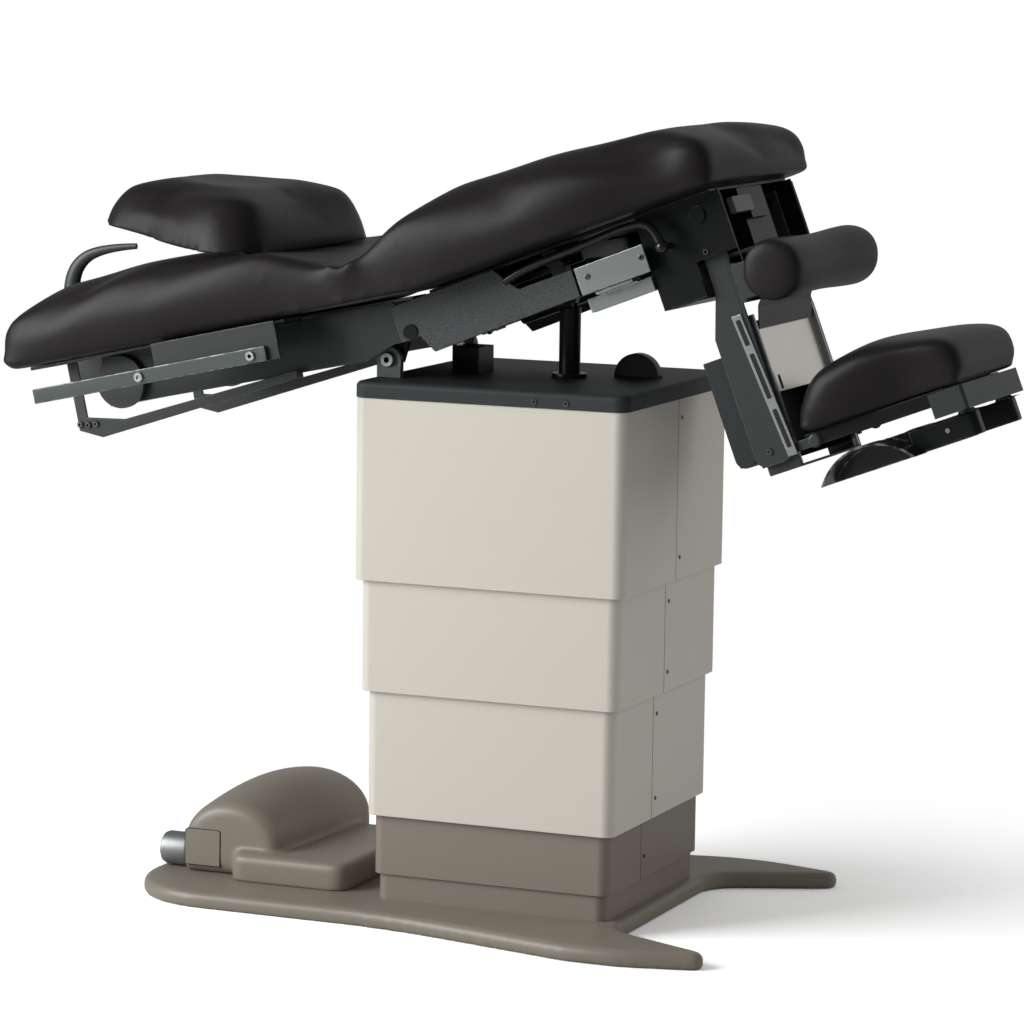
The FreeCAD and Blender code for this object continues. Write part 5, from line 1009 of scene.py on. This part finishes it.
# Its rolled edges go far lighter: rubbed wear and a painted edge highlight.
stirrup_black = coated("stirrup_black", (0.0085, 0.0105, 0.010, 1), (0.30, 0.31, 0.31, 1), 0.24,
                       patch=(3, 0.15), rub_and_highlight=0.9)
dress("knee_tray", black_paint, "black_paint", FILED_EDGE)
bm = bmesh.new()
thicken(bm, add_outline(bm, TRAY_END, segments=4), *TRAY_END_HEIGHT)
lay(bm, SEAT)
piece("tray_end_skirt", bm, charcoal, "knee_rest", "black_paint")
for side, way in (("near", -1), ("far", 1)):
    dress(f"stirrup_{side}", stirrup_black, "black_paint", STIRRUP_EDGE)
    bm = bmesh.new()
    top = thicken(bm, add_outline(bm, PADDLE, segments=5), *PADDLE_HEIGHT)
    roll(bm, rim_of(bm, top) + rim_of(bm, set(bm.verts) - set(top)), PADDLE_EDGE, 3)
    lay(bm, SEAT @ Matrix.Diagonal((1, way, 1, 1)))
    piece(f"stirrup_paddle_{side}", bm, black_paint, f"stirrup_{side}", "black_paint")
    bm = bmesh.new()
    place = SEAT @ facing(PADDLE_RIVET[0], way * PADDLE_RIVET[1], PADDLE_RIVET[2], "Y", way)
    add_socket_head(bm, place, *RIVET_HEAD)
    piece(f"stirrup_rivet_{side}", bm, fittings, f"stirrup_{side}", "steel_fittings")


def form_knee(bm):
    """A crown, with the sides drawn in at the far end."""
    inverse = SEAT.inverted()
    for v in bm.verts:
        local = inverse @ v.co
        local.z += KNEE_CROWN * max(0, local.z - KNEE_BOTTOM) * (1 - (local.y / KNEE_HALF) ** 2)
        local.x += part_of(KNEE_NOSE, local.x) - part_of(KNEE_HEEL, local.x)
        scoop(local, *KNEE_SCOOP)
        v.co = SEAT @ local


bm = stuffed("knee_cushion", ("knee_pad",), voxel=0.006, proud=-0.002, rounding=20, cap=0.014,
             held=under_held, form=form_knee)
pad("knee_cushion", bm, 0.8, "knee_rest", "knee_pad")


# Studio: a pale floor that runs out to white, soft light from the front left and a weaker one from behind
# on the right, and the camera at the photo's angle.
FLOOR_HALF = 9
FLOOR_FADE = (0.45, 1.35)
FLOOR_SHOWN = 1.75
ROOM_LIGHT, ROOM_MIRRORED = 0.30, 0.10
SWEEP, SWEEP_MIRRORED = (0.64, 0.96), 0.45
KEY = ((-4.3, -3.6, 2.9), 4.0, 380)
RIM = ((4.6, 3.2, 2.2), 2.5, 60)
CAMERA_AT = Vector((2.75946, -6.69113, 1.64890))
CAMERA_TURN = (22.82, 7.69, 0.8014)
CAMERA_LENS, CAMERA_SENSOR = 152.1, 36

bm = bmesh.new()
bmesh.ops.create_grid(bm, x_segments=1, y_segments=1, size=FLOOR_HALF)
floor = as_object("floor", bm)
pale = bpy.data.materials.new("pale_floor")
pale.use_nodes = True
nodes, links = pale.node_tree.nodes, pale.node_tree.links
lit = nodes["Principled BSDF"]
lit.inputs["Base Color"].default_value = (0.62, 0.62, 0.62, 1)
lit.inputs["Roughness"].default_value = 0.9
lit.inputs["Specular IOR Level"].default_value = 0.1
shown = nodes.new("ShaderNodeBsdfDiffuse")
shown.inputs["Color"].default_value = (FLOOR_SHOWN, FLOOR_SHOWN, FLOOR_SHOWN, 1)
pale_or_shown = nodes.new("ShaderNodeMixShader")
white = nodes.new("ShaderNodeEmission")
where = nodes.new("ShaderNodeTexCoord")
reach = nodes.new("ShaderNodeVectorMath")
reach.operation = "LENGTH"
fade = nodes.new("ShaderNodeMapRange")
fade.interpolation_type = "SMOOTHSTEP"
fade.inputs["From Min"].default_value, fade.inputs["From Max"].default_value = FLOOR_FADE
rays = nodes.new("ShaderNodeLightPath")
seen = nodes.new("ShaderNodeMath")
seen.operation = "MULTIPLY"
far_off = nodes.new("ShaderNodeMixShader")
links.new(where.outputs["Object"], reach.inputs[0])
links.new(reach.outputs["Value"], fade.inputs["Value"])
links.new(fade.outputs["Result"], seen.inputs[0])
links.new(rays.outputs["Is Camera Ray"], seen.inputs[1])
links.new(seen.outputs["Value"], far_off.inputs["Fac"])
links.new(rays.outputs["Is Camera Ray"], pale_or_shown.inputs["Fac"])
links.new(lit.outputs["BSDF"], pale_or_shown.inputs[1])
links.new(shown.outputs["BSDF"], pale_or_shown.inputs[2])
links.new(pale_or_shown.outputs["Shader"], far_off.inputs[1])
links.new(white.outputs["Emission"], far_off.inputs[2])
links.new(far_off.outputs["Shader"], nodes["Material Output"].inputs["Surface"])
floor.data.materials.append(pale)

world = bpy.data.worlds.new("studio")
bpy.context.scene.world = world
world.use_nodes = True
nodes, links = world.node_tree.nodes, world.node_tree.links
light = nodes["Background"]
light.inputs["Color"].default_value = (1, 1, 1, 1)
rays = nodes.new("ShaderNodeLightPath")
way = nodes.new("ShaderNodeTexCoord")
parts = nodes.new("ShaderNodeSeparateXYZ")
links.new(way.outputs["Generated"], parts.inputs["Vector"])
sweep = nodes.new("ShaderNodeMapRange")
sweep.inputs["From Min"].default_value, sweep.inputs["From Max"].default_value = SWEEP
sweep.inputs["To Min"].default_value, sweep.inputs["To Max"].default_value = ROOM_MIRRORED, SWEEP_MIRRORED
links.new(parts.outputs["Y"], sweep.inputs["Value"])
strength = ROOM_LIGHT
mirrored = sweep.outputs["Result"]
for ray, seen_strength in (("Is Glossy Ray", mirrored), ("Is Transmission Ray", mirrored),
                           ("Is Camera Ray", 1)):
    choose = nodes.new("ShaderNodeMix")
    links.new(rays.outputs[ray], choose.inputs["Factor"])
    for socket, value in (("A", strength), ("B", seen_strength)):
        if isinstance(value, (int, float)):
            choose.inputs[socket].default_value = value
        else:
            links.new(value, choose.inputs[socket])
    strength = choose.outputs["Result"]
links.new(strength, light.inputs["Strength"])

for name, (at, size, power) in (("key_light", KEY), ("rim_light", RIM)):
    lamp = bpy.data.lights.new(name, "AREA")
    lamp.size, lamp.energy = size, power
    stand = bpy.data.objects.new(name, lamp)
    bpy.context.collection.objects.link(stand)
    stand.location = at
    stand.visible_glossy = name == "key_light"
    stand.rotation_euler = (Vector((0, 0, 0.7)) - Vector(at)).to_track_quat("-Z", "Y").to_euler()

turn, rise, tip = (math.radians(a) for a in CAMERA_TURN)
lens = bpy.data.cameras.new("camera")
lens.lens, lens.sensor_width = CAMERA_LENS, CAMERA_SENSOR
camera = bpy.data.objects.new("camera", lens)
bpy.context.collection.objects.link(camera)
ahead = Vector((-math.sin(turn) * math.cos(rise), math.cos(turn) * math.cos(rise), -math.sin(rise)))
camera.matrix_world = (Matrix.Translation(CAMERA_AT) @ ahead.to_track_quat("-Z", "Y").to_matrix().to_4x4()
                       @ Matrix.Rotation(tip, 4, "Z"))
bpy.context.scene.camera = camera
bpy.context.scene.view_settings.view_transform = "Standard"

bpy.context.view_layer.update()
